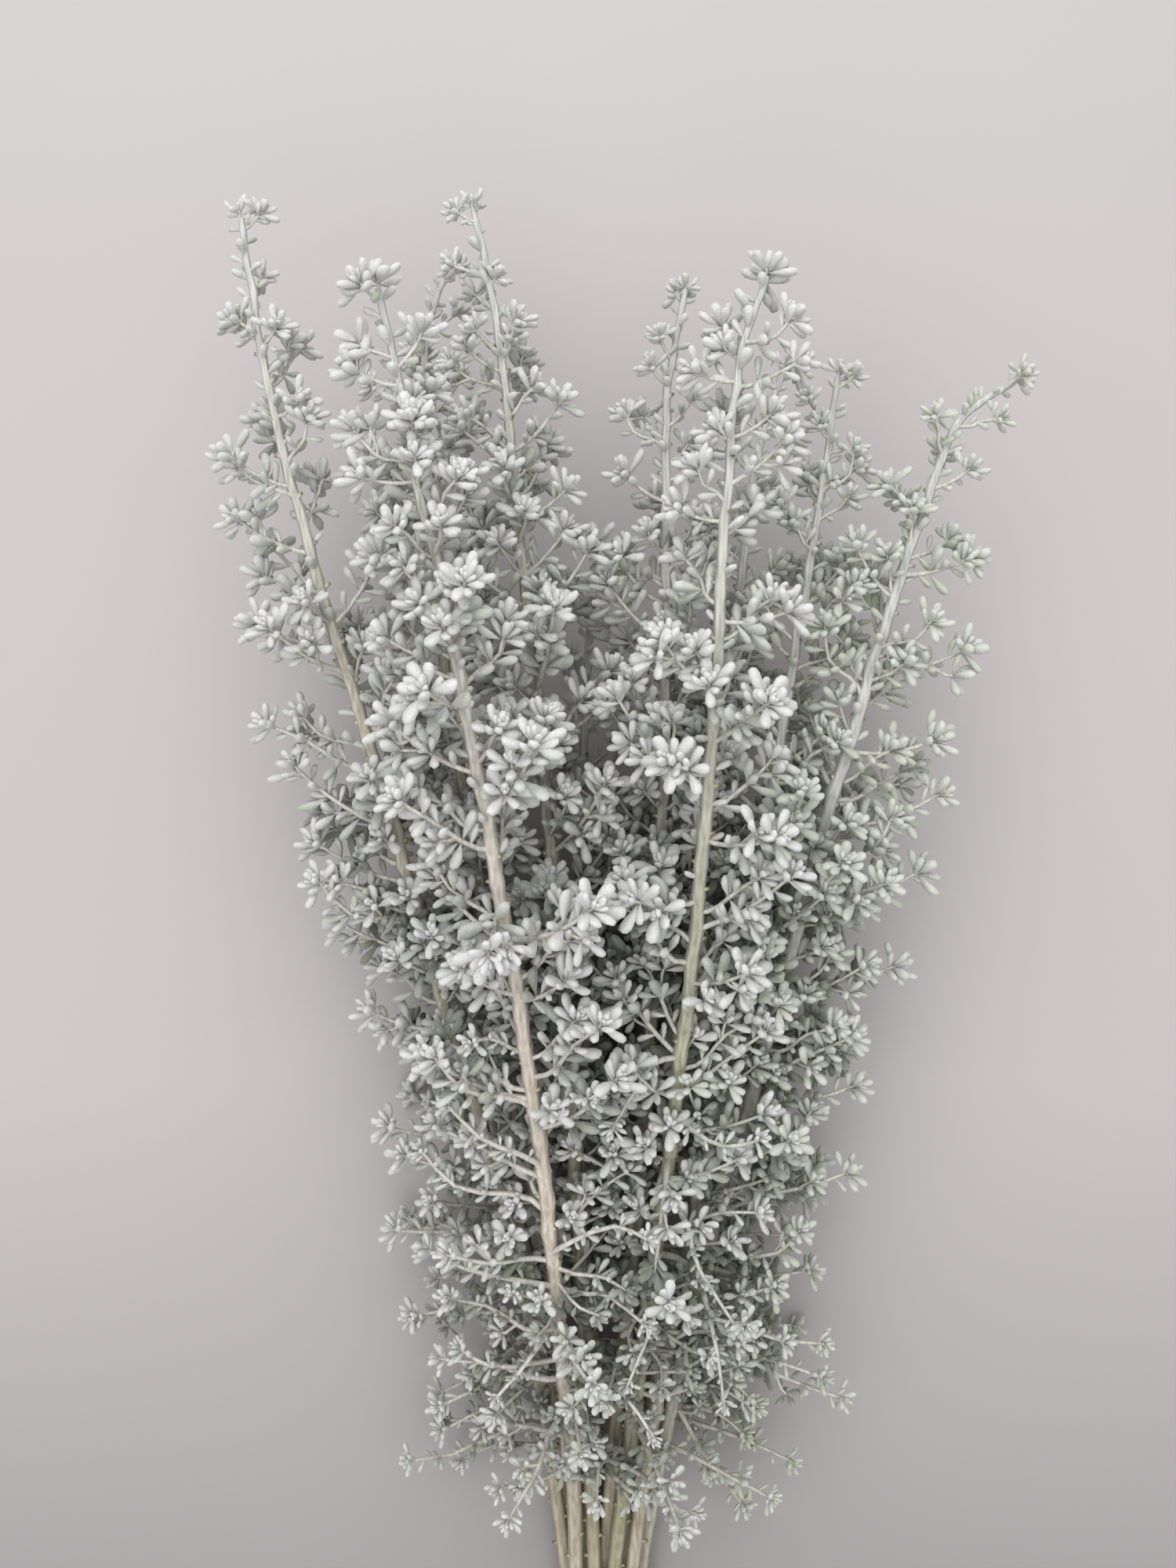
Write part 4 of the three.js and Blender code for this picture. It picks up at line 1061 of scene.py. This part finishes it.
def leafing_tree(leaf_tree):
    """Sets a leaf on each point, turned to its heading, in one of a few forms picked by chance.

    The many buds, which are short, get fewer faces.
    """
    tree, given = new_tree("leafing", {
        "Geometry": ("Geometry", None), "Seed": ("Int", 7), "Material": ("Material", None),
        "Sides": ("Int", 5), "Rings": ("Int", 5), "Bud Sides": ("Int", 4), "Bud Rings": ("Int", 4),
        "Bud Length": ("Float", BUD_LENGTH * MM), "Width": ("Float", 0.43),
        "Thickness": ("Float", 0.36), "Least Curl": ("Float", -0.12), "Most Curl": ("Float", 0.16)})
    length = named(tree, "size")
    turned = outcome(tree, "FunctionNodeAxesToRotation",
                     {"Primary Axis": named(tree, "heading", "FLOAT_VECTOR"),
                      "Secondary Axis": named(tree, "upper", "FLOAT_VECTOR")},
                     primary_axis="Z", secondary_axis="Y")
    # Inputs 4 and 5 are the limits of a whole number, and output 2 is the number.
    pick = add_node(tree, "FunctionNodeRandomValue",
                    {4: 0, 5: LEAF_FORMS - 1, "Seed": given["Seed"]}, data_type="INT").outputs[2]
    is_bud = outcome(tree, "FunctionNodeCompare", {0: length, 1: given["Bud Length"]},
                     data_type="FLOAT", operation="LESS_THAN")
    is_leaf = outcome(tree, "FunctionNodeBooleanMath", {0: is_bud}, operation="NOT")
    both = add_node(tree, "GeometryNodeJoinGeometry")
    for chosen, sides, rings in ((is_leaf, given["Sides"], given["Rings"]),
                                 (is_bud, given["Bud Sides"], given["Bud Rings"])):
        forms = add_node(tree, "GeometryNodeJoinGeometry")
        for k in range(LEAF_FORMS):
            curl = ranged(tree, k, 0, LEAF_FORMS - 1, given["Least Curl"], given["Most Curl"])
            leaf = add_node(tree, "GeometryNodeGroup", node_tree=leaf_tree)
            for label, value in (("Sides", sides), ("Rings", rings), ("Curl", curl),
                                 ("Width", maths(tree, "MULTIPLY", given["Width"], LEAF_WIDTHS[k])),
                                 ("Thickness", given["Thickness"])):
                tree.links.new(value, leaf.inputs[label])
            leaf.inputs["Sway"].default_value = LEAF_SWAYS[k]
            form = outcome(tree, "GeometryNodeGeometryToInstance", {0: leaf.outputs[0]})
            tree.links.new(form, forms.inputs[0])
        leaves = outcome(tree, "GeometryNodeInstanceOnPoints", {
            "Points": given["Geometry"], "Selection": chosen, "Instance": forms.outputs[0],
            "Pick Instance": True, "Instance Index": pick, "Rotation": turned, "Scale": length})
        tree.links.new(leaves, both.inputs[0])
    real = outcome(tree, "GeometryNodeRealizeInstances", {0: both.outputs[0]})
    done = outcome(tree, "GeometryNodeSetMaterial",
                   {"Geometry": real, "Material": given["Material"]})
    add_node(tree, "NodeGroupOutput", {0: done})
    return tree


# Wood

def ridged(tree, section, depth):
    """A round section with every other corner drawn in, and marked as a groove."""
    odd = maths(tree, "MODULO", outcome(tree, "GeometryNodeInputIndex"), 2.0)
    marked = outcome(tree, "GeometryNodeStoreNamedAttribute",
                     {"Geometry": section, "Name": "ridge", "Value": odd})
    kept = maths(tree, "SUBTRACT", 1.0, maths(tree, "MULTIPLY", odd, depth))
    position = outcome(tree, "GeometryNodeInputPosition")
    drawn_in = outcome(tree, "ShaderNodeVectorMath", {0: position, "Scale": kept},
                       operation="SCALE")
    return outcome(tree, "GeometryNodeSetPosition", {"Geometry": marked, "Position": drawn_in})


def wood_tree():
    """Sweeps a ridged round section along the stem and a plain one along its twigs."""
    tree, given = new_tree("wood", {
        "Geometry": ("Geometry", None), "Stem Sides": ("Int", 12), "Twig Sides": ("Int", 5),
        "Ridge Depth": ("Float", 0.06), "Bark": ("Material", None), "Cut Wood": ("Material", None)})
    parted = add_node(tree, "GeometryNodeSeparateGeometry",
                      {"Geometry": given["Geometry"], "Selection": named(tree, "is_stem")})
    both = add_node(tree, "GeometryNodeJoinGeometry")
    for part, sides in enumerate((given["Stem Sides"], given["Twig Sides"])):
        line = outcome(tree, "GeometryNodeMeshToCurve", {"Mesh": parted.outputs[part]})
        section = outcome(tree, "GeometryNodeCurvePrimitiveCircle",
                          {"Resolution": sides, "Radius": 1.0})
        if part == 0:
            section = ridged(tree, section, given["Ridge Depth"])
        swept = outcome(tree, "GeometryNodeCurveToMesh",
                        {"Curve": line, "Profile Curve": section,
                         "Scale": named(tree, "girth"), "Fill Caps": True})
        smooth = outcome(tree, "GeometryNodeSetShadeSmooth", {"Geometry": swept})
        barked = outcome(tree, "GeometryNodeSetMaterial",
                         {"Geometry": smooth, "Material": given["Bark"]})
        if part == 0:
            # Only the faces of the cut ends have more than four corners.
            corners = outcome(tree, "GeometryNodeInputMeshFaceNeighbors")
            is_end = outcome(tree, "FunctionNodeCompare", {2: corners, 3: 4}, data_type="INT",
                             operation="GREATER_THAN")
            barked = outcome(tree, "GeometryNodeSetMaterial", {
                "Geometry": barked, "Selection": is_end, "Material": given["Cut Wood"]})
            barked = outcome(tree, "GeometryNodeSetShadeSmooth", {
                "Geometry": barked, "Selection": is_end, "Shade Smooth": False})
        tree.links.new(barked, both.inputs[0])
    add_node(tree, "NodeGroupOutput", {0: both.outputs[0]})
    return tree


def wood_source(index, line, sprays):
    """The stem, the stubs of its shed leaves and its twigs as chains of points with a girth."""
    points, edges, girths, is_stem, youth, scars = [], [], [], [], [], []

    def chain(places, radii, on_stem, young, scar=0.0):
        first = len(points)
        points.extend(places)
        girths.extend(radii)
        is_stem.extend([on_stem] * len(places))
        youth.extend(young)
        scars.extend([0.0] * (len(places) - 1) + [scar])
        edges.extend((first + i, first + i + 1) for i in range(len(places) - 1))

    far = np.arange(line.length, 1.0, -WOOD_STEP)
    knots = np.array(list(rule_nodes(line)))
    near = np.abs(far[:, None] - knots[None]).min(1)
    swell = 1 + KNOT_GAIN * np.exp(-(near / KNOT_LENGTH) ** 2)
    sides = KINK * np.interp(far, knots, [swing(index, k, 8) for k in range(len(knots))])
    sides[far > knots[-1]] = 0
    middle = []
    for distance, aside in zip(far, sides):
        place, along = stem_at(line, distance)
        middle.append(place + unit(np.cross(along, KINK_AXIS)) * aside)
    bark_radii = stem_radius(line, far) * STEM_DRAW
    chain(middle, bark_radii * swell, 1.0,
          np.clip(FELT_AT_TIP - far / STEMS[index]["felted"], 0, 1))
    for k, distance in enumerate(np.arange(STUB_FROM, line.length - STUB_TO, STUB_GAP)):
        distance += jitter(STUB_GAP * STUB_GAP_JITTER, index, k, 41)
        place, along = stem_at(line, distance)
        if abs(place[1]) < STRAIGHT_AT_BAND:
            continue
        turn = k * math.pi + STUB_TURN_JITTER * (chance(index, k, 42) - STUB_TURN)
        outward = square_to(along, turn)
        radius = float(np.interp(distance, far[::-1], bark_radii[::-1]))
        reach = radius + STUB_LENGTH * drawn_from(STUB_SHARES, index, k, 43)
        ends = [place + outward * out + along * on for out, on in zip(
            (radius * STUB_DEPTH, radius, reach), STUB_LEAN)]
        chain(ends, [STUB_RADIUS * share for share in STUB_TAPER], 0.0,
              [max(0, 1 - distance / YOUNG_STUBS)] * 3, 1.0)
    for spray in sprays:
        shares = np.linspace(0, 1, TWIG_POINTS if spray.length > LONG_TWIG else SHORT_TWIG_POINTS)
        radii = blend(spray.root_radius, TWIG_TIP_RADIUS, shares) * TWIG_DRAW
        chain([spray_point(spray, s) for s in shares], radii, 0.0, [TWIG_FELT] * len(shares))
    points = [off_the_surface(point, radius) for point, radius in zip(points, girths)]
    return loose_mesh("wood source", in_frame(points), edges, {
        "girth": np.array(girths) * MM, "is_stem": is_stem, "youth": youth, "scar": scars,
        "green": [STEMS[index]["green"]] * len(points)})


# Band

def band_outline():
    """The stems that the band bends round, each with the directions out to the band there."""
    corners = [np.array(band_place(*place)) for place in BAND_CORNERS]
    outline = []
    for i, corner in enumerate(corners):
        before, after = corners[i - 1], corners[(i + 1) % len(corners)]
        start = math.atan2(*(corner - before)[::-1]) - math.pi / 2
        turn = (math.atan2(*(after - corner)[::-1]) - math.pi / 2 - start) % (2 * math.pi)
        outline += [(corner, start + turn * k / BAND_ARC_STEPS) for k in range(BAND_ARC_STEPS + 1)]
    return outline


def add_turn(outline, offset, points, faces):
    """One turn of the band: a strip with rounded edges, set a little askew."""
    first = len(points)
    for corner, angle in outline:
        askew = offset + BAND_SKEW * math.sin(angle)
        for k in range(BAND_SECTION):
            round_angle = 2 * math.pi * k / BAND_SECTION
            across, out = (math.copysign(abs(value) ** BAND_SQUARENESS, value)
                           for value in (math.cos(round_angle), math.sin(round_angle)))
            reach = BAND_MIDDLE + out * BAND_HALF_THICKNESS
            points.append((corner[0] + math.cos(angle) * reach, askew + across * BAND_HALF_WIDTH,
                           corner[1] + math.sin(angle) * reach))
    for i in range(len(outline)):
        here, there = (first + BAND_SECTION * (n % len(outline)) for n in (i, i + 1))
        for k in range(BAND_SECTION):
            after = (k + 1) % BAND_SECTION
            faces.append((here + k, here + after, there + after, there + k))


# Finishes. The scale of a noise is in waves a metre.

class Finish:
    """A material whose Principled shader has its plain values set on its own sockets."""

    def __init__(self, name, **values):
        self.material = bpy.data.materials.new(name)
        self.material.use_nodes = True
        self.tree = self.material.node_tree
        self.shader = self.tree.nodes["Principled BSDF"]
        for label, value in values.items():
            self.shader.inputs[label.replace("_", " ")].default_value = value
        self.place = add_node(self.tree, "ShaderNodeTexCoord").outputs["Object"]

    def read(self, name):
        return add_node(self.tree, "ShaderNodeAttribute", attribute_name=name).outputs["Fac"]

    def height(self):
        """How far along the bunch a point is."""
        return add_node(self.tree, "ShaderNodeSeparateXYZ", {0: self.place}).outputs["Y"]

    def noise(self, scale, detail, squeezed=None):
        """Noise, which is drawn out along an axis where its place is squeezed."""
        place = self.place
        if squeezed:
            place = outcome(self.tree, "ShaderNodeMapping", {"Vector": place, "Scale": squeezed})
        return add_node(self.tree, "ShaderNodeTexNoise", {
            "Vector": place, "Scale": scale, "Detail": detail}).outputs["Fac"]

    def mixed(self, share, first, second):
        """A blend of two colours, each a socket or plain red, green and blue.

        Of a mix node's many inputs and outputs, 6, 7 and 2 are the colours.
        """
        first, second = (colour if isinstance(colour, bpy.types.NodeSocket) else (*colour, 1)
                         for colour in (first, second))
        return add_node(self.tree, "ShaderNodeMix", {0: share, 6: first, 7: second},
                        data_type="RGBA").outputs[2]

    def done(self, colour, tone=None, bumps=None, strength=0.0, depth=0.0):
        """Links the colour, made lighter or darker by a tone, and the bumps, with their depth."""
        if tone:
            colour = outcome(self.tree, "ShaderNodeVectorMath", {0: colour, "Scale": tone},
                             operation="SCALE")
        self.tree.links.new(colour, self.shader.inputs["Base Color"])
        if bumps:
            bump = outcome(self.tree, "ShaderNodeBump",
                           {"Height": bumps, "Strength": strength, "Distance": depth})
            self.tree.links.new(bump, self.shader.inputs["Normal"])
        return self.material


def felt_finish(colours):
    """Fleshy leaves under a coat of short white hairs: dull, pale and soft at their edges.

    The tufts are drawn 0.6 mm wide, coarser than the real hairs, and the patches 6 mm.
    """
    felt = Finish("felted leaf", Roughness=0.95, IOR=1.4, Specular_IOR_Level=0.15,
                  Sheen_Weight=0.5, Sheen_Roughness=0.5)
    tree, tufts = felt.tree, felt.noise(1800.0, 2.0)
    ramp = add_node(tree, "ShaderNodeValToRGB", {
        "Fac": maths(tree, "MULTIPLY_ADD", felt.read("youth"), 0.6, felt.noise(160.0, 2.0))})
    ends = ramp.color_ramp.elements
    ends[0].position, ends[0].color = 0.4, (*colours.old_leaf, 1)
    ends[1].position, ends[1].color = 1.0, (*colours.young_leaf, 1)
    ends.new(0.7).color = (*colours.grown_leaf, 1)
    colour = felt.mixed(felt.read("green"), ramp.outputs[0], colours.green_leaf)
    # Painted shade: leaves deep among others are drawn towards a dark green-grey.
    buried = maths(tree, "MULTIPLY", felt.read("buried"), 0.85)
    colour = felt.mixed(buried, colour, colours.painted_shade_leaf)
    # Each leaf is drawn darker towards its foot: partly the leaf's own darker base, partly painted
    # shade where leaves overlap.
    tone = maths(tree, "MULTIPLY", ranged(tree, tufts, 0.3, 0.7, 0.9, 1.06),
                 ranged(tree, felt.read("along"), 0.1, 0.8, 0.84))
    return felt.done(colour, tone, tufts, 0.35, 0.0004)


def bark_finish(colours):
    """Thin grey-cream bark on green wood: dull, with pinkish patches, darker grooves and scars.

    The fibres are drawn 0.9 mm wide, coarser than real, and 9 mm long, and the patches 11 mm.
    Below the leaves the bark is worn through to olive brown.
    """
    bark = Finish("bluebush bark", Roughness=0.85, IOR=1.45, Specular_IOR_Level=0.25)
    tree = bark.tree
    fibres, patches = bark.noise(1100.0, 4.0, (1.0, 0.1, 1.0)), bark.noise(90.0, 3.0)
    colour = bark.mixed(ranged(tree, patches, 0.35, 0.65), colours.bark, colours.pink_bark)
    colour = bark.mixed(bark.read("green"), colour, colours.green_bark)
    colour = bark.mixed(bark.read("youth"), colour, colours.grown_leaf)
    colour = bark.mixed(bark.read("scar"), colour, colours.foot_bark)
    worn = maths(tree, "MULTIPLY", ranged(tree, bark.height(), *WORN_FOOT, 1.0, 0.0),
                 ranged(tree, patches, 0.35, 0.6, 0.95, 0.45))
    colour = bark.mixed(worn, colour, colours.foot_bark)
    tone = maths(tree, "SUBTRACT", ranged(tree, fibres, 0.35, 0.65, 0.82, 1.1),
                 maths(tree, "MULTIPLY", bark.read("ridge"), 0.2))
    return bark.done(colour, tone, fibres, 0.5, 0.0002)


def cut_wood_finish(colours):
    """Freshly cut green wood: pale, damp enough to shine a little, and finely speckled.

    The speckles of its vessels are 0.3 mm wide.
    """
    wood = Finish("cut green wood", Roughness=0.6, IOR=1.45)
    return wood.done(wood.mixed(wood.noise(3000.0, 1.0), colours.cut_wood, colours.bark))


def rubber_finish(colours):
    """Natural rubber, cut from a thin tube: amber-tan, satin and a little see-through.

    The streaks of the cut are 0.4 mm wide and 1.6 mm long, and the pale bloom is in 3 mm patches.
    """
    rubber = Finish("natural rubber", Roughness=0.55, IOR=1.52, Subsurface_Weight=0.1,
                    Subsurface_Scale=0.002)
    streaks = rubber.noise(2500.0, 2.0, (0.25, 1.0, 0.25))
    colour = rubber.mixed(rubber.noise(300.0, 3.0), colours.rubber, colours.rubber_bloom)
    return rubber.done(colour, None, streaks, 0.4, 0.0001)


def floor_finish(colours):
    """Matt painted board: even and dull, with painted shade that darkens it towards the cut ends
    and a painted light tint that turns it greyer past the tips.

    Its faint mottling is 8 cm wide.
    """
    board = Finish("matt painted board", Roughness=0.95, Specular_IOR_Level=0.1)
    tree = board.tree
    # Painted shade: the board is drawn darker towards the cut ends.
    tone = maths(tree, "MULTIPLY", ranged(tree, board.noise(12.0, 3.0), 0, 1, 0.985, 1.015),
                 ranged(tree, board.height(), *PAINTED_SHADE_FLOOR, 0.63))
    # Painted light: past the tips the board takes a greyer tint.
    past = ranged(tree, board.height(), *PAINTED_LIGHT_FLOOR)
    return board.done(board.mixed(past, colours.floor, colours.floor_painted_light), tone)


# Settings

def number(name, description, default, low, high, **settings):
    """A size that a user can change, a whole number where its default is one."""
    kind = IntProperty if isinstance(default, int) else FloatProperty
    return kind(name=name, description=description, default=default, min=low, max=high, **settings)


def colour(name, description, code):
    return FloatVectorProperty(name=name, description=description, subtype="COLOR",
                               default=linear(code), min=0, max=1)


class BluebushSizes(bpy.types.PropertyGroup):
    """The sizes of the leaves and of the wood's section."""

    leaf_width: number("Leaf Width", "Width of a leaf as a share of its length", 0.43, 0.1, 0.8)
    leaf_thickness: number(
        "Leaf Thickness", "Thickness of a leaf as a share of its length", 0.36, 0.1, 0.8)
    least_curl: number(
        "Least Curl", "Curl of the straightest leaf as a share of its length", -0.12, -0.5, 0.5)
    most_curl: number(
        "Most Curl", "Curl of the most bent leaf as a share of its length", 0.16, -0.5, 0.5)
    leaf_sides: number("Leaf Sides", "Sides of a leaf's section", 5, 3, 12)
    leaf_rings: number("Leaf Rings", "Steps along a leaf", 5, 3, 16)
    stem_sides: number("Stem Sides", "Sides of a stem's section, two for each ridge", 12, 6, 32)
    twig_sides: number("Twig Sides", "Sides of a twig's section", 5, 3, 16)
    ridge_depth: number(
        "Ridge Depth", "Depth of a stem's grooves as a share of its radius", 0.06, 0, 0.4)
    seed: number("Seed", "Seed of the choice of leaf forms", 7, 0, 10000)


class BluebushColours(bpy.types.PropertyGroup):
    """The colours of the finishes."""

    young_leaf: colour("Young Leaf", "White felt of the newest leaves", "#CDCCCD")
    grown_leaf: colour("Grown Leaf", "Silver felt of grown leaves", "#C6C7C3")
    old_leaf: colour("Old Leaf", "Grey-green of the oldest leaves", "#A4A99C")
    green_leaf: colour("Green Leaf", "Thinner felt that lets the green leaf show", "#BAC0B0")
    # Painted shade: the dark green-grey that leaves deep among others are drawn towards.
    painted_shade_leaf: colour(
        "Buried Leaf", "Green-grey of leaves that grow in the shade of others", "#747A6B")
    bark: colour("Bark", "Grey-cream bark", "#D3CBBD")
    pink_bark: colour("Pink Bark", "Pinkish-cream patches of the bark", "#D0C4BB")
    green_bark: colour("Green Bark", "Green-grey bark of the fresher stems", "#ADAE98")
    foot_bark: colour(
        "Foot Bark", "Olive-brown bark of the stems' bare feet and of scars", "#857A57")
    cut_wood: colour("Cut Wood", "Pale wood of the cut ends", "#D9D2AE")
    rubber: colour("Rubber", "Amber-tan rubber of the band", "#B9935B")
    rubber_bloom: colour("Rubber Bloom", "Pale bloom on the rubber", "#CFB48A")
    floor: colour("Floor", "Pale board that the bunch lies on", "#B4AFB0")
    # Painted light: the greyer tint of the board past the stems' tips.
    floor_painted_light: colour("Floor Top", "Greyer part of the board beyond the stems' tips", "#B3B2B0")


class BluebushStage(bpy.types.PropertyGroup):
    """The place and lens of the camera, and the strengths of the lights."""

    camera_height: number(
        "Camera Height", "Height of the camera above the surface", 0.440, 0, 5, unit="LENGTH")
    camera_x: number("Camera Across", "Place of the camera across the bunch from the band",
                     -0.0045, -5, 5, unit="LENGTH")
    camera_y: number("Camera Along", "Place of the camera along the bunch from the band",
                     0.2376, -5, 5, unit="LENGTH")
    lens: number("Lens", "Focal length of the camera in millimetres", 34.2, 1, 500)
    key_power: number(
        "Key Light", "Power of the wide light beyond the tips", 6.0, 0, 1000, unit="POWER")
    fill_power: number("Fill Light", "Power of the wide light overhead", 7.0, 0, 1000, unit="POWER")
    sky: number("Sky", "Strength of the even light from all round", 0.56, 0, 10)


class GrowWood(bpy.types.Operator):
    """Sweep the bark along every stem and twig of the bunch"""

    bl_idname = "bluebush.grow_wood"
    bl_label = "Grow Wood"

    def execute(self, context):
        sizes, colours = context.scene.bluebush_sizes, context.scene.bluebush_colours
        lines, sprays, _ = grown_bunch()
        tree = wood_tree()
        values = {"Stem Sides": sizes.stem_sides, "Twig Sides": sizes.twig_sides,
                  "Ridge Depth": sizes.ridge_depth, "Bark": bark_finish(colours),
                  "Cut Wood": cut_wood_finish(colours)}
        for index, stem in enumerate(STEMS):
            own = [spray for spray in sprays if spray.stem == index]
            source = wood_source(index, lines[index], own)
            piece = grow(source, tree, values, stem["name"].replace("stem", "wood"))
            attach(piece, "root")
            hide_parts(stem["name"])
        return {"FINISHED"}


class GrowLeaves(bpy.types.Operator):
    """Set every leaf of the bunch on its twig"""

    bl_idname = "bluebush.grow_leaves"
    bl_label = "Grow Leaves"

    def execute(self, context):
        sizes, colours = context.scene.bluebush_sizes, context.scene.bluebush_colours
        leaves = grown_bunch()[2]
        # Painted shade: how far each leaf is darkened by the leaves that lie over it.
        buried = painted_shade_shares(leaves)
        tree = leafing_tree(club_leaf_tree())
        values = {"Seed": sizes.seed, "Material": felt_finish(colours), "Sides": sizes.leaf_sides,
                  "Rings": sizes.leaf_rings, "Width": sizes.leaf_width,
                  "Thickness": sizes.leaf_thickness, "Least Curl": sizes.least_curl,
                  "Most Curl": sizes.most_curl, "Bud Length": BUD_LENGTH * MM}
        for index, stem in enumerate(STEMS):
            own = leaves[index]
            source = loose_mesh("leaf source", in_frame([leaf.root for leaf in own]), [], {
                "heading": [leaf.heading for leaf in own], "upper": [leaf.upper for leaf in own],
                "size": [leaf.length * MM for leaf in own], "youth": [leaf.youth for leaf in own],
                "buried": buried[index], "green": [stem["leaf_green"]] * len(own)})
            piece = grow(source, tree, values, stem["name"].replace("stem", "leaves"))
            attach(piece, "root")
            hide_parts(stem["name"])
        return {"FINISHED"}


class WindBand(bpy.types.Operator):
    """Wind the elastic band round the bare stems"""

    bl_idname = "bluebush.wind_band"
    bl_label = "Wind Band"

    def execute(self, context):
        outline = band_outline()
        points, faces = [], []
        for turn in range(BAND_TURNS):
            add_turn(outline, (turn - (BAND_TURNS - 1) / 2) * BAND_TURN_PITCH, points, faces)
        mesh = bpy.data.meshes.new("band_turns")
        mesh.from_pydata(in_frame(points).tolist(), [], faces)
        mesh.polygons.foreach_set("use_smooth", [True] * len(faces))
        mesh.materials.append(rubber_finish(context.scene.bluebush_colours))
        band = placed("band_turns", mesh)
        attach(band, "root")
        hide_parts("elastic_band")
        return {"FINISHED"}


class SetStage(bpy.types.Operator):
    """Set the floor, the lights and the camera"""

    bl_idname = "bluebush.set_stage"
    bl_label = "Set Stage"

    def execute(self, context):
        scene, stage = context.scene, context.scene.bluebush_stage
        mesh = bpy.data.meshes.new("floor")
        form = bmesh.new()
        bmesh.ops.create_grid(form, x_segments=1, y_segments=1, size=FLOOR_HALF)
        form.to_mesh(mesh)
        form.free()
        mesh.materials.append(floor_finish(scene.bluebush_colours))
        floor = placed("floor", mesh)
        floor.location.z = -FLOOR_DROP
        centre = design_origin()
        for name, place, size, power in LIGHTS:
            data = bpy.data.lights.new(name, "AREA")
            data.size, data.energy = size, getattr(stage, power)
            light = placed(name, data)
            light.location = centre + np.array(place)
            target = np.array(LIGHTS_AIM) + centre
            aim = Vector(target - np.array(light.location))
            light.rotation_euler = aim.to_track_quat("-Z", "Y").to_euler()
        world = bpy.data.worlds.new("sky")
        world.use_nodes = True
        background = world.node_tree.nodes["Background"]
        background.inputs["Color"].default_value = (1, 1, 1, 1)
        background.inputs["Strength"].default_value = stage.sky
        scene.world = world
        scene.view_settings.view_transform = "Standard"
        scene.view_settings.look = "Medium High Contrast"
        lens = bpy.data.cameras.new("camera")
        lens.lens = stage.lens
        camera = placed("camera", lens)
        camera.location = centre + np.array((stage.camera_x, stage.camera_y, stage.camera_height))
        scene.camera = camera
        return {"FINISHED"}


class BluebushPanel(bpy.types.Panel):
    """The steps that dress the bunch, and their sizes and colours"""

    bl_idname = "VIEW3D_PT_bluebush"
    bl_label = "Bluebush Bunch"
    bl_space_type = "VIEW_3D"
    bl_region_type = "UI"
    bl_category = "Bluebush"

    def draw(self, context):
        for step in STEPS:
            self.layout.operator(step.bl_idname)
        for key, kind in GROUPS.items():
            box = self.layout.box()
            for name in kind.__annotations__:
                box.prop(getattr(context.scene, key), name)


GROUPS = {"bluebush_sizes": BluebushSizes, "bluebush_colours": BluebushColours,
          "bluebush_stage": BluebushStage}
STEPS = (GrowWood, GrowLeaves, WindBand, SetStage)
KINDS = (*GROUPS.values(), *STEPS, BluebushPanel)


def register():
    for kind in KINDS:
        bpy.utils.register_class(kind)
    for key, kind in GROUPS.items():
        setattr(bpy.types.Scene, key, PointerProperty(type=kind))


def unregister():
    for key in GROUPS:
        delattr(bpy.types.Scene, key)
    for kind in reversed(KINDS):
        bpy.utils.unregister_class(kind)


def main():
    register()
    bpy.ops.bluebush.grow_wood()
    bpy.ops.bluebush.grow_leaves()
    bpy.ops.bluebush.wind_band()
    bpy.ops.bluebush.set_stage()


if __name__ == "__main__":
    main()
